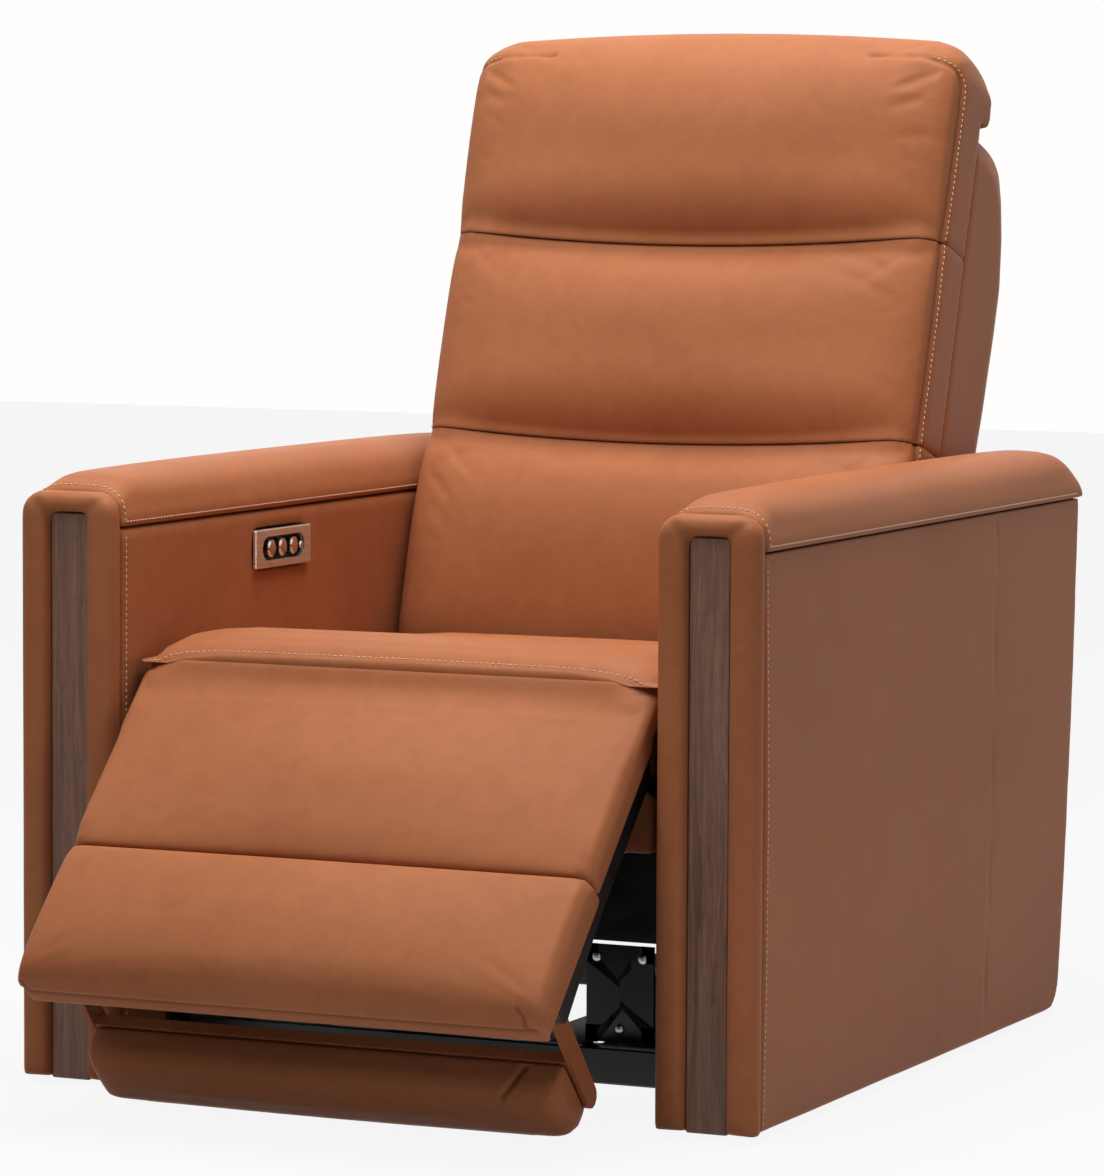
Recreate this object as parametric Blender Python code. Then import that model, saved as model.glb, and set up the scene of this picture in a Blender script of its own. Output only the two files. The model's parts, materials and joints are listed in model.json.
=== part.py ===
"""Power recliner, half open: wide padded arms, a reclining back with a tilting head section,
a footrest with a folding flipper, and the steel base that carries them.

The chair faces -Y. While it is built, the arms' front seams lie in the plane y = 0, the floor is z = 0
and x = 0 is the middle of the seat. At the end it moves forward, so that the middle of its length, half
open, stands over the origin. All lengths are in metres.
"""
import math

import bmesh
import bpy
from mathutils import Vector

for old in list(bpy.data.objects):
    bpy.data.objects.remove(old, do_unlink=True)

# Clearances
fit_gap = 0.0003
slide_gap = 0.0006
cut_overrun = 0.004

# Whole chair
overall_width = 0.831
arm_thickness = 0.111
inner_half = overall_width / 2 - arm_thickness
glide_height = 0.006
half_open_middle = 0.3834

# Arms
arm_depth_top = 0.944
arm_depth_foot = 0.891
arm_crown_height = 0.641
arm_pad_rise = 0.0575
arm_seam_height = arm_crown_height - arm_pad_rise
arm_foot_corner = 0.032
panel_thickness = 0.0138
panel_bulge = 0.0030
panel_corner = 0.009
arm_post_depth = 0.060
arm_web_thickness = 0.018
border_drop = 0.020
border_top = arm_crown_height - border_drop
border_depth = 0.024
border_corner = 0.024
border_round = 0.014
border_lip_round = 0.006
border_foot_round = 0.012
inlay_width = 0.045
inlay_drop = 0.0225
inlay_top = border_top - inlay_drop
inlay_proud = 0.0120
inlay_edge = 0.0015
crown_front_run = 0.045
crown_rear_run = 0.060
glide_radius = 0.019
glide_inset = 0.045

# Base under the seat
rail_web = 0.004
rail_foot = 0.052
rail_top = 0.155
rail_lip = 0.040
rail_start = 0.095
rail_end = 0.850
cross_tube_depth = 0.030
cross_tube_height = 0.038
cross_front = 0.165
cross_rear = 0.760
supply_size = (0.150, 0.075, 0.050)
supply_shift = 0.120
inlet_socket_radius = 0.0055
inlet_socket_depth = 0.012
edge_soft = 0.002

# Switch on the picture-left arm
plate_length = 0.130
plate_height = 0.042
plate_thickness = 0.0045
plate_front = 0.289
plate_drop = 0.0425
plate_centre_height = arm_seam_height - plate_drop
recess_length = 0.099
recess_height = 0.026
switch_box_depth = 0.0200
switch_box_margin = 0.008
recess_depth = 0.0070
button_radius = 0.0098
button_pitch = 0.0262
button_first = 0.0205
button_proud = 0.0020
button_stem_radius = 0.0040
button_stem = 0.0040
button_travel = 0.0015
button_dome = 0.0018
small_button_radius = 0.0042
small_button_place = 0.0900
button_gap = 0.0005

# Seat
seat_side_gap = 0.004
seat_half = inner_half - seat_side_gap
seat_seam_front = 0.014
seat_seam_height = 0.4437
seat_top = 0.4900
seat_rear = 0.577
seat_base = 0.4050
seat_crown = 0.0150
seat_side_round = 0.030
seat_lip_back = 0.052
side_plate_inset = 0.0245
side_plate_gap = inner_half - side_plate_inset
side_plate_thickness = 0.004
side_plate_foot = 0.0566
seat_rail_width = 0.038
seat_rail_height = 0.030
front_rail_face = 0.075
front_rail_thickness = 0.020
front_rail_inset = 0.018
front_rail_half = side_plate_gap - front_rail_inset
front_rail_foot = 0.268
rear_rail_front = 0.579
rear_rail_thickness = 0.020
rear_rail_foot = 0.200
seat_rail_step = 0.020
plate_throat_share = 0.77
window_corner = 0.020
front_window_shares = (0.14, 0.46, 0.30, 0.62)
rear_window_shares = (0.56, 0.84, 0.30, 0.62)
back_pin_reach = 0.012
spring_wire = 0.0022
spring_sway = 0.026
spring_bends = 9
spring_spacing = 0.240

# Footrest: the pads lie along a line that hangs from the seat's front
foot_hinge = (0.0274, 0.4236)
foot_rest_angle = 45.0
foot_pad_face = 0.0190
foot_upper_thickness = 0.038
foot_upper_length = 0.2230
foot_length = 0.390
foot_side_gap = 0.0135
foot_half = inner_half - foot_side_gap
foot_lower_thickness = 0.0455
foot_board_thickness = 0.012
foot_crown = 0.014
foot_side_round = 0.016
foot_nose_inset = 0.0117
foot_nose_half = side_plate_gap - foot_nose_inset
foot_nose_run = 0.0365
foot_board_inset = 0.010
bracket_thickness = 0.006
bracket_inset = 0.0095
bracket_gap = side_plate_gap - bracket_inset
pin_sink_share = 0.4
pivot_eye = 0.012
pivot_pin = 0.0040
lever_length = 0.070
ear_throat_shares = (1.8, 2.0)

# Flipper: its hinge lies behind the footrest's lower edge
flip_hinge_along = 0.3345
flip_hinge_behind = 0.0585
flip_near = 0.064
flip_far = 0.140
flip_face = 0.062
flip_back = 0.004
flip_inset = 0.0155
flip_half = side_plate_gap - flip_inset
flip_board_thickness = 0.012
flip_corner = 0.016
flip_crown = 0.006
flip_arm_thickness = 0.0042

# Lift drive
crank_place = (0.320, 0.300)
torque_tube_radius = 0.0125
crank_thickness = 0.005
crank_inset = 0.021
crank_half_gap = side_plate_gap - crank_inset
link_inset = 0.015
link_half_gap = side_plate_gap - link_inset
link_thickness = 0.0048
link_depth = 0.020
motor_size = (0.084, 0.150, 0.060)
motor_foot = 0.205
motor_lug_share = 0.57
lug_width_share = 0.80
track_size = (0.024, 0.180, 0.018)
carriage_length = 0.045
carriage_wall = 0.008
carriage_place = 0.335

# Backrest: lengths along the lean and behind the face
back_lean = 18.0
back_origin = (0.605, 0.431)
back_side_gap = 0.0025
back_half = inner_half - back_side_gap
back_depth = 0.110
lumbar_start = -0.026
lumbar_end = 0.2452
middle_end = 0.4785
head_end = 0.7180
back_crown = 0.022
back_side_round = 0.042
head_axis_behind = 0.040
head_rod_radius = 0.0040
head_eye = 0.0080
head_plate = 0.004
head_plate_inset = 0.055
head_plate_place = side_plate_gap - head_plate_inset
head_board_start = 0.505
head_board_end = 0.610
head_board_thickness = 0.012
head_thickness = 0.137
shell_side_gap = 0.0045
shell_half = inner_half - shell_side_gap
shell_start = -0.060
shell_end = 0.640
shell_rear = 0.270
shell_wall = 0.014
shell_round = 0.040
post_start = -0.095
post_end = 0.590
post_width = 0.044
post_depth = 0.050
post_front = 0.1125
back_hinge_along = -0.050
back_hinge_behind = 0.130
back_rail_height = 0.050
back_rail_thickness = 0.018
lug_thickness = 0.016
recline_box = (0.060, 0.200, 0.056)
recline_shift = -0.130
recline_height = 0.245
rod_radius = 0.0090
rod_gap = 0.0008
rod_rest_inside = 0.080
recline_stroke = 0.062
rod_end = 0.678
head_drive_box = (0.056, 0.150, 0.034)
head_drive_start = 0.290
head_drive_behind = 0.170
head_rod_in = 0.080
head_drive_rod = 0.006


# Materials
def material(name, colour, roughness, metallic=0.0):
    made = bpy.data.materials.new(name)
    made.use_nodes = True
    shader = made.node_tree.nodes["Principled BSDF"]
    shader.inputs["Base Color"].default_value = (*colour, 1.0)
    shader.inputs["Roughness"].default_value = roughness
    shader.inputs["Metallic"].default_value = metallic
    return made


leather = material("leather", (0.42, 0.17, 0.075), 0.42)
oak = material("oak", (0.085, 0.055, 0.042), 0.55)
plywood = material("plywood", (0.62, 0.46, 0.28), 0.70)
black_steel = material("black_steel", (0.02, 0.02, 0.022), 0.45, 0.8)
dark_plastic = material("dark_plastic", (0.03, 0.03, 0.032), 0.50)
bronze = material("bronze", (0.48, 0.36, 0.27), 0.30, 1.0)
chrome = material("chrome", (0.80, 0.78, 0.76), 0.12, 1.0)


# Helpers
def finish(bm, name, surface, smooth=30.0):
    """Turn a bmesh into a named object with faces out and one material."""
    bmesh.ops.recalc_face_normals(bm, faces=bm.faces)
    mesh = bpy.data.meshes.new(name)
    bm.to_mesh(mesh)
    bm.free()
    mesh.materials.append(surface)
    if smooth:
        mesh.shade_smooth()
        mesh.set_sharp_from_angle(angle=math.radians(smooth))
    made = bpy.data.objects.new(name, mesh)
    bpy.context.scene.collection.objects.link(made)
    return made


def loft(name, rings, surface):
    """Skin a run of closed rings with the same number of points, and cap both ends."""
    bm = bmesh.new()
    rows = [[bm.verts.new(point) for point in ring] for ring in rings]
    count = len(rows[0])
    for low, high in zip(rows, rows[1:]):
        for i in range(count):
            j = (i + 1) % count
            bm.faces.new((low[i], low[j], high[j], high[i]))
    caps = [bm.faces.new(rows[0]), bm.faces.new(rows[-1])]
    bm.normal_update()
    bmesh.ops.triangulate(bm, faces=caps)
    return finish(bm, name, surface)


def box(name, low, high, surface, soft=0.0):
    """A block between two corners, with softened edges if asked."""
    bm = bmesh.new()
    bmesh.ops.create_cube(bm, size=1.0)
    middle = [(a + b) / 2 for a, b in zip(low, high)]
    size = [abs(b - a) for a, b in zip(low, high)]
    bmesh.ops.scale(bm, vec=size, verts=bm.verts)
    bmesh.ops.translate(bm, vec=middle, verts=bm.verts)
    if soft:
        bmesh.ops.bevel(bm, geom=bm.edges[:], offset=soft, segments=1, affect='EDGES')
    return finish(bm, name, surface)


def prism(name, outline, start, end, axis, surface):
    """Extrude an outline. Axis x takes (y, z) points, y takes (x, z) points and z takes (x, y)."""
    def place(point, depth):
        a, b = point
        return {"x": (depth, a, b), "y": (a, depth, b), "z": (a, b, depth)}[axis]
    rings = [[place(point, depth) for point in outline] for depth in (start, end)]
    return loft(name, rings, surface)


def turned(name, start, heading, profile, surface, sides=16):
    """A turned piece: (distance, radius) rows along a heading from a start point."""
    start, heading = Vector(start), Vector(heading).normalized()
    turn = heading.to_track_quat('Z', 'Y').to_matrix()
    rings = []
    for distance, radius in profile:
        ring = []
        for i in range(sides):
            angle = 2 * math.pi * (i + 0.5) / sides
            spoke = Vector((math.cos(angle), math.sin(angle), 0)) * radius
            ring.append(start + heading * distance + turn @ spoke)
        rings.append(ring)
    return loft(name, rings, surface)


def rod(name, start, end, radius, surface, sides=16):
    """A round bar between two points."""
    along = Vector(end) - Vector(start)
    return turned(name, start, along, ((0, radius), (along.length, radius)), surface, sides)


def combine(target, tool, operation):
    """Join or cut one object with another, which stays as a hidden guide."""
    change = target.modifiers.new(operation.lower(), 'BOOLEAN')
    change.operation = operation
    change.solver = 'EXACT'
    change.object = tool
    tool.hide_render = True
    tool.display_type = 'WIRE'


def join(target, *tools):
    for tool in tools:
        combine(target, tool, 'UNION')


def cut(target, *tools):
    for tool in tools:
        combine(target, tool, 'DIFFERENCE')


def smooth_run(points, steps):
    """Points on a smooth curve through the given ones, both ends kept."""
    run = []
    last = len(points) - 1
    for i in range(last):
        a = points[max(i - 1, 0)]
        b, c = points[i], points[i + 1]
        d = points[min(i + 2, last)]
        for k in range(steps):
            t = k / steps
            row = []
            for p, q, r, s in zip(a, b, c, d):
                curve = 2 * q + (r - p) * t + (2 * p - 5 * q + 4 * r - s) * t * t
                row.append((curve + (3 * q - p - 3 * r + s) * t ** 3) / 2)
            run.append(tuple(row))
    run.append(tuple(points[last]))
    return run


pad_station_shares = (0.0, 0.22, 0.42, 0.60, 0.76, 0.86, 0.93, 0.975, 1.0)


def pad(name, half, side_round, section, place, surface):
    """A cushion lofted from side to side. Each section point is (a, b, crown a, crown b, edge a,
    edge b): its place at the seam line, where the crown lifts it, and where the side draws it in."""
    shares = [-s for s in reversed(pad_station_shares[1:])] + list(pad_station_shares)
    rings = []
    for share in shares:
        x = share * half
        crown = 1 - share * share
        reach = max(0.0, (abs(x) - (half - side_round)) / side_round)
        draw = side_round * (1 - math.sqrt(max(0.0, 1 - reach * reach)))
        ring = []
        for a, b, crown_a, crown_b, edge_a, edge_b in section:
            along = a + crown * crown_a + draw * edge_a
            across = b + crown * crown_b + draw * edge_b
            ring.append((x, *place(along, across)))
        rings.append(ring)
    return loft(name, rings, surface)


def on_foot(along, behind):
    """(y, z) of a place on the footrest: along it from its hinge, and behind the hinge line."""
    angle = math.radians(foot_rest_angle)
    s, c = math.sin(angle), math.cos(angle)
    return (foot_hinge[0] - along * s + behind * c, foot_hinge[1] - along * c - behind * s)


def on_flipper(along, facing):
    """(y, z) of a place on the flipper: out from its hinge, and towards its padded face."""
    angle = math.radians(foot_rest_angle)
    s, c = math.sin(angle), math.cos(angle)
    y, z = on_foot(flip_hinge_along, flip_hinge_behind)
    return (y + along * c - facing * s, z - along * s - facing * c)


def on_back(along, behind):
    """(y, z) of a place on the backrest: up along its lean, and behind its face."""
    angle = math.radians(back_lean)
    s, c = math.sin(angle), math.cos(angle)
    return (back_origin[0] + along * s + behind * c, back_origin[1] + along * c - behind * s)


def eye_ring(centre, radius, first, last, steps):
    """Points of an arc round a pivot, in its own plane, angles in degrees."""
    ring = []
    for i in range(steps + 1):
        angle = math.radians(first + (last - first) * i / steps)
        ring.append((centre[0] + radius * math.cos(angle), centre[1] + radius * math.sin(angle)))
    return ring


def bar(name, start, end, width, near, far, surface):
    """A flat bar with round ends between two pivots in the (y, z) plane, from x near to x far."""
    heading = math.degrees(math.atan2(end[1] - start[1], end[0] - start[0]))
    quarter = 90.0
    outline = eye_ring(end, width / 2, heading - quarter, heading + quarter, 6)
    outline += eye_ring(start, width / 2, heading + quarter, heading + 3 * quarter, 6)
    return prism(name, outline, near, far, "x", surface)


# Arms
arm_half = arm_thickness / 2
arm_centre = inner_half + arm_half
outer_panel_back = overall_width / 2 - panel_thickness - panel_bulge
foot_corner_shares = (0.0, 0.10, 0.30, 0.60, 1.0)
bulge_height_shares = (0.25, 0.50, 0.75, 1.0)
crown_station_shares = (0.0, 0.30, 0.65, 1.0)
roll_station_shares = (0.0, 0.35, 0.62, 0.82, 0.94, 1.0)
roll_end_share = 0.88
crown_fullness = 3.4
crown_steps = 14
border_steps = 4


def arm_rear(height):
    """The rear edge leans back going up, and its foot is rounded."""
    rise = (height - glide_height) / (arm_seam_height - glide_height)
    foot = min(1.0, (height - glide_height) / arm_foot_corner)
    rounding = arm_foot_corner * (1 - math.sqrt(1 - (1 - foot) ** 2))
    return arm_depth_foot + (arm_depth_top - arm_depth_foot) * rise - rounding


def arm_heights():
    """Heights at which the arm's upright sheets get a ring."""
    top = arm_seam_height - fit_gap
    rows = [glide_height + arm_foot_corner * share for share in foot_corner_shares]
    start = rows[-1]
    return rows + [start + (top - start) * share for share in bulge_height_shares]


def arm_sheet(name, side, plan, surface):
    """Loft an upright piece of the arm from its plan at each height."""
    rings = [[(side * x, y, z) for x, y in plan(z)] for z in arm_heights()]
    return loft(name, rings, surface)


def outer_panel_plan(z):
    rise = (z - glide_height) / (arm_seam_height - glide_height)
    out = overall_width / 2 - panel_bulge * (1 - math.sin(math.pi * min(1.0, max(0.0, rise))))
    rear = arm_rear(z)
    inside = rear - panel_thickness
    corner = eye_ring((out - panel_corner, rear - panel_corner), panel_corner, 0, 90, 3)
    return [(inner_half, rear), (inner_half, inside), (outer_panel_back, inside),
            (outer_panel_back, fit_gap), (out, fit_gap)] + corner


def inner_panel_plan(z):
    rear = arm_rear(z) - panel_thickness - fit_gap
    back = inner_half + panel_thickness
    return [(inner_half, fit_gap), (inner_half, rear), (back, rear), (back, fit_gap)]


def frame_plan(z):
    """An I in plan: a post at each end and a plywood web between them."""
    near, far = inner_half + panel_thickness + fit_gap, outer_panel_back - fit_gap
    middle, web = (near + far) / 2, arm_web_thickness / 2
    rear = arm_rear(z) - panel_thickness - fit_gap
    front_post, rear_post = fit_gap + arm_post_depth, rear - arm_post_depth
    front_web, rear_web = front_post + web, rear_post - web
    return [(near, fit_gap), (far, fit_gap), (far, front_post), (middle + web, front_web),
            (middle + web, rear_web), (far, rear_post), (far, rear), (near, rear),
            (near, rear_post), (middle - web, rear_web), (middle - web, front_web),
            (near, front_post)]


def border_outline(side, outer, inner, foot):
    """The inverted U of the front border, drawn in by the given amounts."""
    left, right = arm_centre - arm_half + outer, arm_centre + arm_half - outer
    top, low = border_top - outer, glide_height + foot
    corner = border_corner - outer
    slot = inlay_width / 2 + inner
    slot_top = inlay_top + fit_gap + inner
    points = [(left, low)]
    points += eye_ring((left + corner, top - corner), corner, 180, 90, 5)
    points += eye_ring((right - corner, top - corner), corner, 90, 0, 5)
    lip = low + edge_soft / 2
    points += [(right, low), (arm_centre + slot, lip), (arm_centre + slot, slot_top),
               (arm_centre - slot, slot_top), (arm_centre - slot, lip)]
    return [(side * x, z) for x, z in points]


def make_border(name, side):
    rings = [[(x, 0, z) for x, z in border_outline(side, 0, 0, 0)]]
    for k in range(border_steps + 1):
        angle = math.pi / 2 * k / border_steps
        sink, turn = 1 - math.cos(angle), math.sin(angle)
        y = -(border_depth - border_round) - border_round * turn
        outline = border_outline(side, border_round * sink, border_lip_round * sink,
                                 border_foot_round * sink)
        rings.append([(x, y, z) for x, z in outline])
    return loft(name, rings, leather)


def crown_section(side, y, height):
    """Half of a full oval over the arm's width, flat below."""
    ring = []
    for i in range(crown_steps + 1):
        angle = math.pi * i / crown_steps
        across = math.copysign(abs(math.cos(angle)) ** (2 / crown_fullness), math.cos(angle))
        up = math.sin(angle) ** (2 / crown_fullness) if 0 < i < crown_steps else 0
        ring.append((side * (arm_centre + arm_half * across), y, arm_seam_height + height * up))
    return ring


def make_top_pad(name, side):
    low, full = border_top - arm_seam_height, arm_crown_height - arm_seam_height
    rings = []
    for share in crown_station_shares:
        height = low + (full - low) * math.sin(math.pi / 2 * share)
        rings.append(crown_section(side, fit_gap + crown_front_run * share, height))
    roll_start = arm_depth_top - crown_rear_run
    for share in roll_station_shares:
        height = full * math.sqrt(1 - (roll_end_share * share) ** 2)
        rings.append(crown_section(side, roll_start + crown_rear_run * share, height))
    return loft(name, rings, leather)


def make_arm(side, word):
    arm_sheet("arm_frame_" + word, side, frame_plan, plywood)
    arm_sheet("arm_outer_panel_" + word, side, outer_panel_plan, leather)
    inner = arm_sheet("arm_inner_panel_" + word, side, inner_panel_plan, leather)
    make_border("arm_front_border_" + word, side)
    make_top_pad("arm_top_pad_" + word, side)
    half = inlay_width / 2 - fit_gap
    low = (side * (arm_centre - half), -inlay_proud, glide_height)
    high = (side * (arm_centre + half), 0, inlay_top)
    box("arm_front_inlay_" + word, low, high, oak, inlay_edge)
    for end, y in (("front", glide_inset), ("rear", arm_depth_foot - glide_inset - arm_foot_corner)):
        foot = (side * arm_centre, y, 0)
        head = (side * arm_centre, y, glide_height - fit_gap)
        rod("glide_" + end + "_" + word, foot, head, glide_radius, dark_plastic)
    return inner


make_arm(1, "right")
switch_arm_panel = make_arm(-1, "left")


# Switch: a plate with a sunk tray and four buttons, on the picture-left arm
plate_middle = plate_front + plate_length / 2
panel_face = -inner_half
plate_face = panel_face + fit_gap + plate_thickness
tray_floor = panel_face + fit_gap - recess_depth


def stadium(length, height):
    """A slot with round ends, as (y, z) points about the plate's middle."""
    r = height / 2
    run = length / 2 - r
    ring = eye_ring((plate_middle + run, plate_centre_height), r, -90, 90, 8)
    return ring + eye_ring((plate_middle - run, plate_centre_height), r, 90, 270, 8)


def make_switch():
    half_length, half_height = plate_length / 2, plate_height / 2
    low = (panel_face + fit_gap, plate_middle - half_length, plate_centre_height - half_height)
    high = (plate_face, plate_middle + half_length, plate_centre_height + half_height)
    plate = box("switch_plate", low, high, bronze, plate_thickness / 4)
    slot = stadium(recess_length, recess_height)
    cut(plate, prism("plate_slot", slot, panel_face - cut_overrun, plate_face + cut_overrun,
                     "x", bronze))
    box_half_length = recess_length / 2 + switch_box_margin
    box_half_height = recess_height / 2 + switch_box_margin
    near = (panel_face - switch_box_depth, plate_middle - box_half_length,
            plate_centre_height - box_half_height)
    far = (panel_face, plate_middle + box_half_length, plate_centre_height + box_half_height)
    tray = box("switch_housing", near, far, dark_plastic)
    cut(tray, prism("tray_sink", slot, tray_floor, plate_face + cut_overrun, "x", dark_plastic))
    window_low = (panel_face - panel_thickness - cut_overrun, near[1] - fit_gap, near[2] - fit_gap)
    window_high = (panel_face + cut_overrun, far[1] + fit_gap, far[2] + fit_gap)
    cut(switch_arm_panel, box("panel_window", window_low, window_high, leather))
    start = plate_middle - recess_length / 2
    rows = [("button_front", button_first, button_radius),
            ("button_middle", button_first + button_pitch, button_radius),
            ("button_rear", button_first + 2 * button_pitch, button_radius),
            ("button_small", small_button_place, small_button_radius)]
    for name, along, radius in rows:
        place = (tray_floor, start + along, plate_centre_height)
        stem = min(button_stem_radius, radius / 2)
        seat = button_travel + fit_gap
        reach = plate_face - tray_floor + button_proud
        edge = reach - button_dome
        profile = ((-button_stem, stem), (seat, stem), (seat, radius), (edge, radius),
                   (reach - button_dome / 4, radius * 0.72), (reach, radius * 0.35))
        turned(name, place, (1, 0, 0), profile, chrome, 20)
        deep = button_stem + button_travel + 2 * fit_gap
        hole = ((-deep, stem + button_gap), (cut_overrun / 2, stem + button_gap))
        cut(tray, turned(name + "_hole", place, (1, 0, 0), hole, dark_plastic, 20))


make_switch()


# Base
def make_base():
    web = inner_half - fit_gap
    for side, word in ((1, "right"), (-1, "left")):
        outline = [(web, rail_foot), (web, rail_top), (web - rail_web, rail_top),
                   (web - rail_web, rail_foot + rail_web), (web - rail_lip, rail_foot + rail_web),
                   (web - rail_lip, rail_foot)]
        outline = [(side * x, z) for x, z in outline]
        prism("base_rail_" + word, outline, rail_start, rail_end, "y", black_steel)
    top = rail_foot - fit_gap
    for word, y in (("front", cross_front), ("rear", cross_rear)):
        low = (-web, y, top - cross_tube_height)
        high = (web, y + cross_tube_depth, top)
        box("base_cross_tube_" + word, low, high, black_steel, edge_soft)
    length, depth, height = supply_size
    rear = cross_rear + cross_tube_depth + fit_gap + depth
    low = (supply_shift - length / 2, rear - depth, top - height)
    high = (supply_shift + length / 2, rear, top)
    supply = box("power_supply", low, high, dark_plastic, edge_soft)
    mouth = (supply_shift, rear + cut_overrun, top - height / 2)
    end = (supply_shift, rear - inlet_socket_depth, top - height / 2)
    cut(supply, rod("inlet_socket", mouth, end, inlet_socket_radius, dark_plastic))


make_base()


# Seat
seat_section_shares = ((0.0, 0.0, 0.0), (0.006, 0.24, 0.10), (0.034, 0.56, 0.50),
                       (0.085, 0.80, 0.75), (0.190, 0.95, 0.95), (0.42, 1.0, 1.0),
                       (0.66, 0.97, 0.95), (0.84, 0.88, 0.70), (0.955, 0.72, 0.30), (1.0, 0.50, 0.0))
seat_steps = 2


def make_seat_cushion():
    """Front lip over the footrest, a rolled front edge and a crowned top."""
    run, rise = seat_rear - seat_seam_front, seat_top - seat_seam_height
    top = []
    for along, up, lift in seat_section_shares:
        top.append((seat_seam_front + run * along, seat_seam_height + rise * up, 0,
                    seat_crown * lift, 0, -up))
    section = smooth_run(top, seat_steps)
    section += [(seat_rear, seat_base, 0, 0, 0, 0), (seat_lip_back, seat_base, 0, 0, 0, 0),
                (seat_lip_back, seat_seam_height, 0, 0, 0, 0)]
    pad("seat_cushion", seat_half, seat_side_round, section, lambda y, z: (y, z), leather)


def make_side_plate(name, side):
    """Steel side of the mechanism, from the footrest hinge to the back hinge."""
    y, z = foot_hinge
    rear = on_back(back_hinge_along, back_hinge_behind)
    top = seat_base - fit_gap
    eye = pivot_eye + edge_soft
    front = front_rail_face + bracket_thickness
    outline = [(rear_rail_front, top), (foot_hinge[0] + 2 * pivot_eye, top)]
    outline += eye_ring((y, z), eye, 0, 290, 9)
    outline += [(front, z - lever_length * plate_throat_share), (front + eye, rail_top),
                (rail_start + eye, side_plate_foot), (rear[0], side_plate_foot)]
    outline += eye_ring(rear, 2 * eye, -20, 110, 8)
    near, far = side * side_plate_gap, side * (side_plate_gap + side_plate_thickness)
    plate = prism(name, outline, near, far, "x", black_steel)
    sink = near + side * side_plate_thickness / 2
    for word, (a, b), reach in (("_foot_pin", foot_hinge, bracket_gap),
                                ("_back_pin", rear, side_plate_gap - back_pin_reach)):
        join(plate, rod(name + word, (side * reach, a, b), (sink, a, b), pivot_pin,
                        black_steel, 12))
    for word, shares in (("_front_window", front_window_shares), ("_rear_window", rear_window_shares)):
        low_y, high_y, low_z, high_z = shares
        run, rise = rear[0] - rail_start, top - side_plate_foot
        a, b = rail_start + run * low_y, rail_start + run * high_y
        c, d = side_plate_foot + rise * low_z, side_plate_foot + rise * high_z
        soft = window_corner
        window = [(a + soft, c), (b - soft, c), (b, c + soft), (b, d - soft),
                  (b - soft, d), (a + soft, d), (a, d - soft), (a, c + soft)]
        cut(plate, prism(name + word, window, near - side * cut_overrun, far + side * cut_overrun,
                         "x", black_steel))


def flat_wire(name, path, radius, sides=6):
    """A round wire whose bends all lie in one level plane."""
    rings = []
    last = len(path) - 1
    for i, point in enumerate(path):
        ahead, behind = Vector(path[min(i + 1, last)]), Vector(path[max(i - 1, 0)])
        heading = (ahead - behind).normalized()
        if i in (0, last):
            heading = Vector((0, 1, 0))
        across = Vector((-heading.y, heading.x, 0))
        ring = []
        for k in range(sides):
            angle = 2 * math.pi * (k + 0.5) / sides
            ring.append(Vector(point) + radius * (across * math.cos(angle)
                                                  + Vector((0, 0, math.sin(angle)))))
        rings.append(ring)
    return loft(name, rings, black_steel)


def make_spring(name, x):
    """A zigzag spring under the cushion, from the front rail to the rear rail."""
    start = front_rail_face + front_rail_thickness + fit_gap
    end = rear_rail_front - fit_gap
    z = seat_base - fit_gap - spring_wire
    steps = 4 * spring_bends
    path = []
    for i in range(steps + 1):
        share = i / steps
        path.append((x + spring_sway * math.sin(2 * math.pi * spring_bends / 2 * share),
                     start + (end - start) * share, z))
    flat_wire(name, path, spring_wire)


def make_seat():
    make_seat_cushion()
    top = seat_base - fit_gap
    plate_face_x = side_plate_gap - fit_gap
    rail_near = front_rail_face + front_rail_thickness + seat_rail_step
    for side, word in ((1, "right"), (-1, "left")):
        make_side_plate("seat_side_plate_" + word, side)
        low = (side * (plate_face_x - seat_rail_width), rail_near, top - seat_rail_height)
        high = (side * plate_face_x, rear_rail_front - fit_gap, top)
        box("seat_rail_" + word, low, high, plywood, edge_soft / 2)
    low = (-front_rail_half, front_rail_face, front_rail_foot)
    high = (front_rail_half, front_rail_face + front_rail_thickness, top)
    box("seat_front_rail", low, high, leather, edge_soft)
    low = (-plate_face_x, rear_rail_front, rear_rail_foot)
    high = (plate_face_x, rear_rail_front + rear_rail_thickness, top)
    rear_rail = box("seat_rear_rail", low, high, plywood, edge_soft / 2)
    make_spring("seat_spring_left", -spring_spacing / 2)
    make_spring("seat_spring_right", spring_spacing / 2)
    return rear_rail


rear_rail = make_seat()


# Lift drive: torque tube with its cranks, push links, motor on its track, and the carriage
def swing(centre):
    """Where a lever of the lift stands at rest: straight below its pivot."""
    return (centre[0], centre[1] - lever_length)


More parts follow.
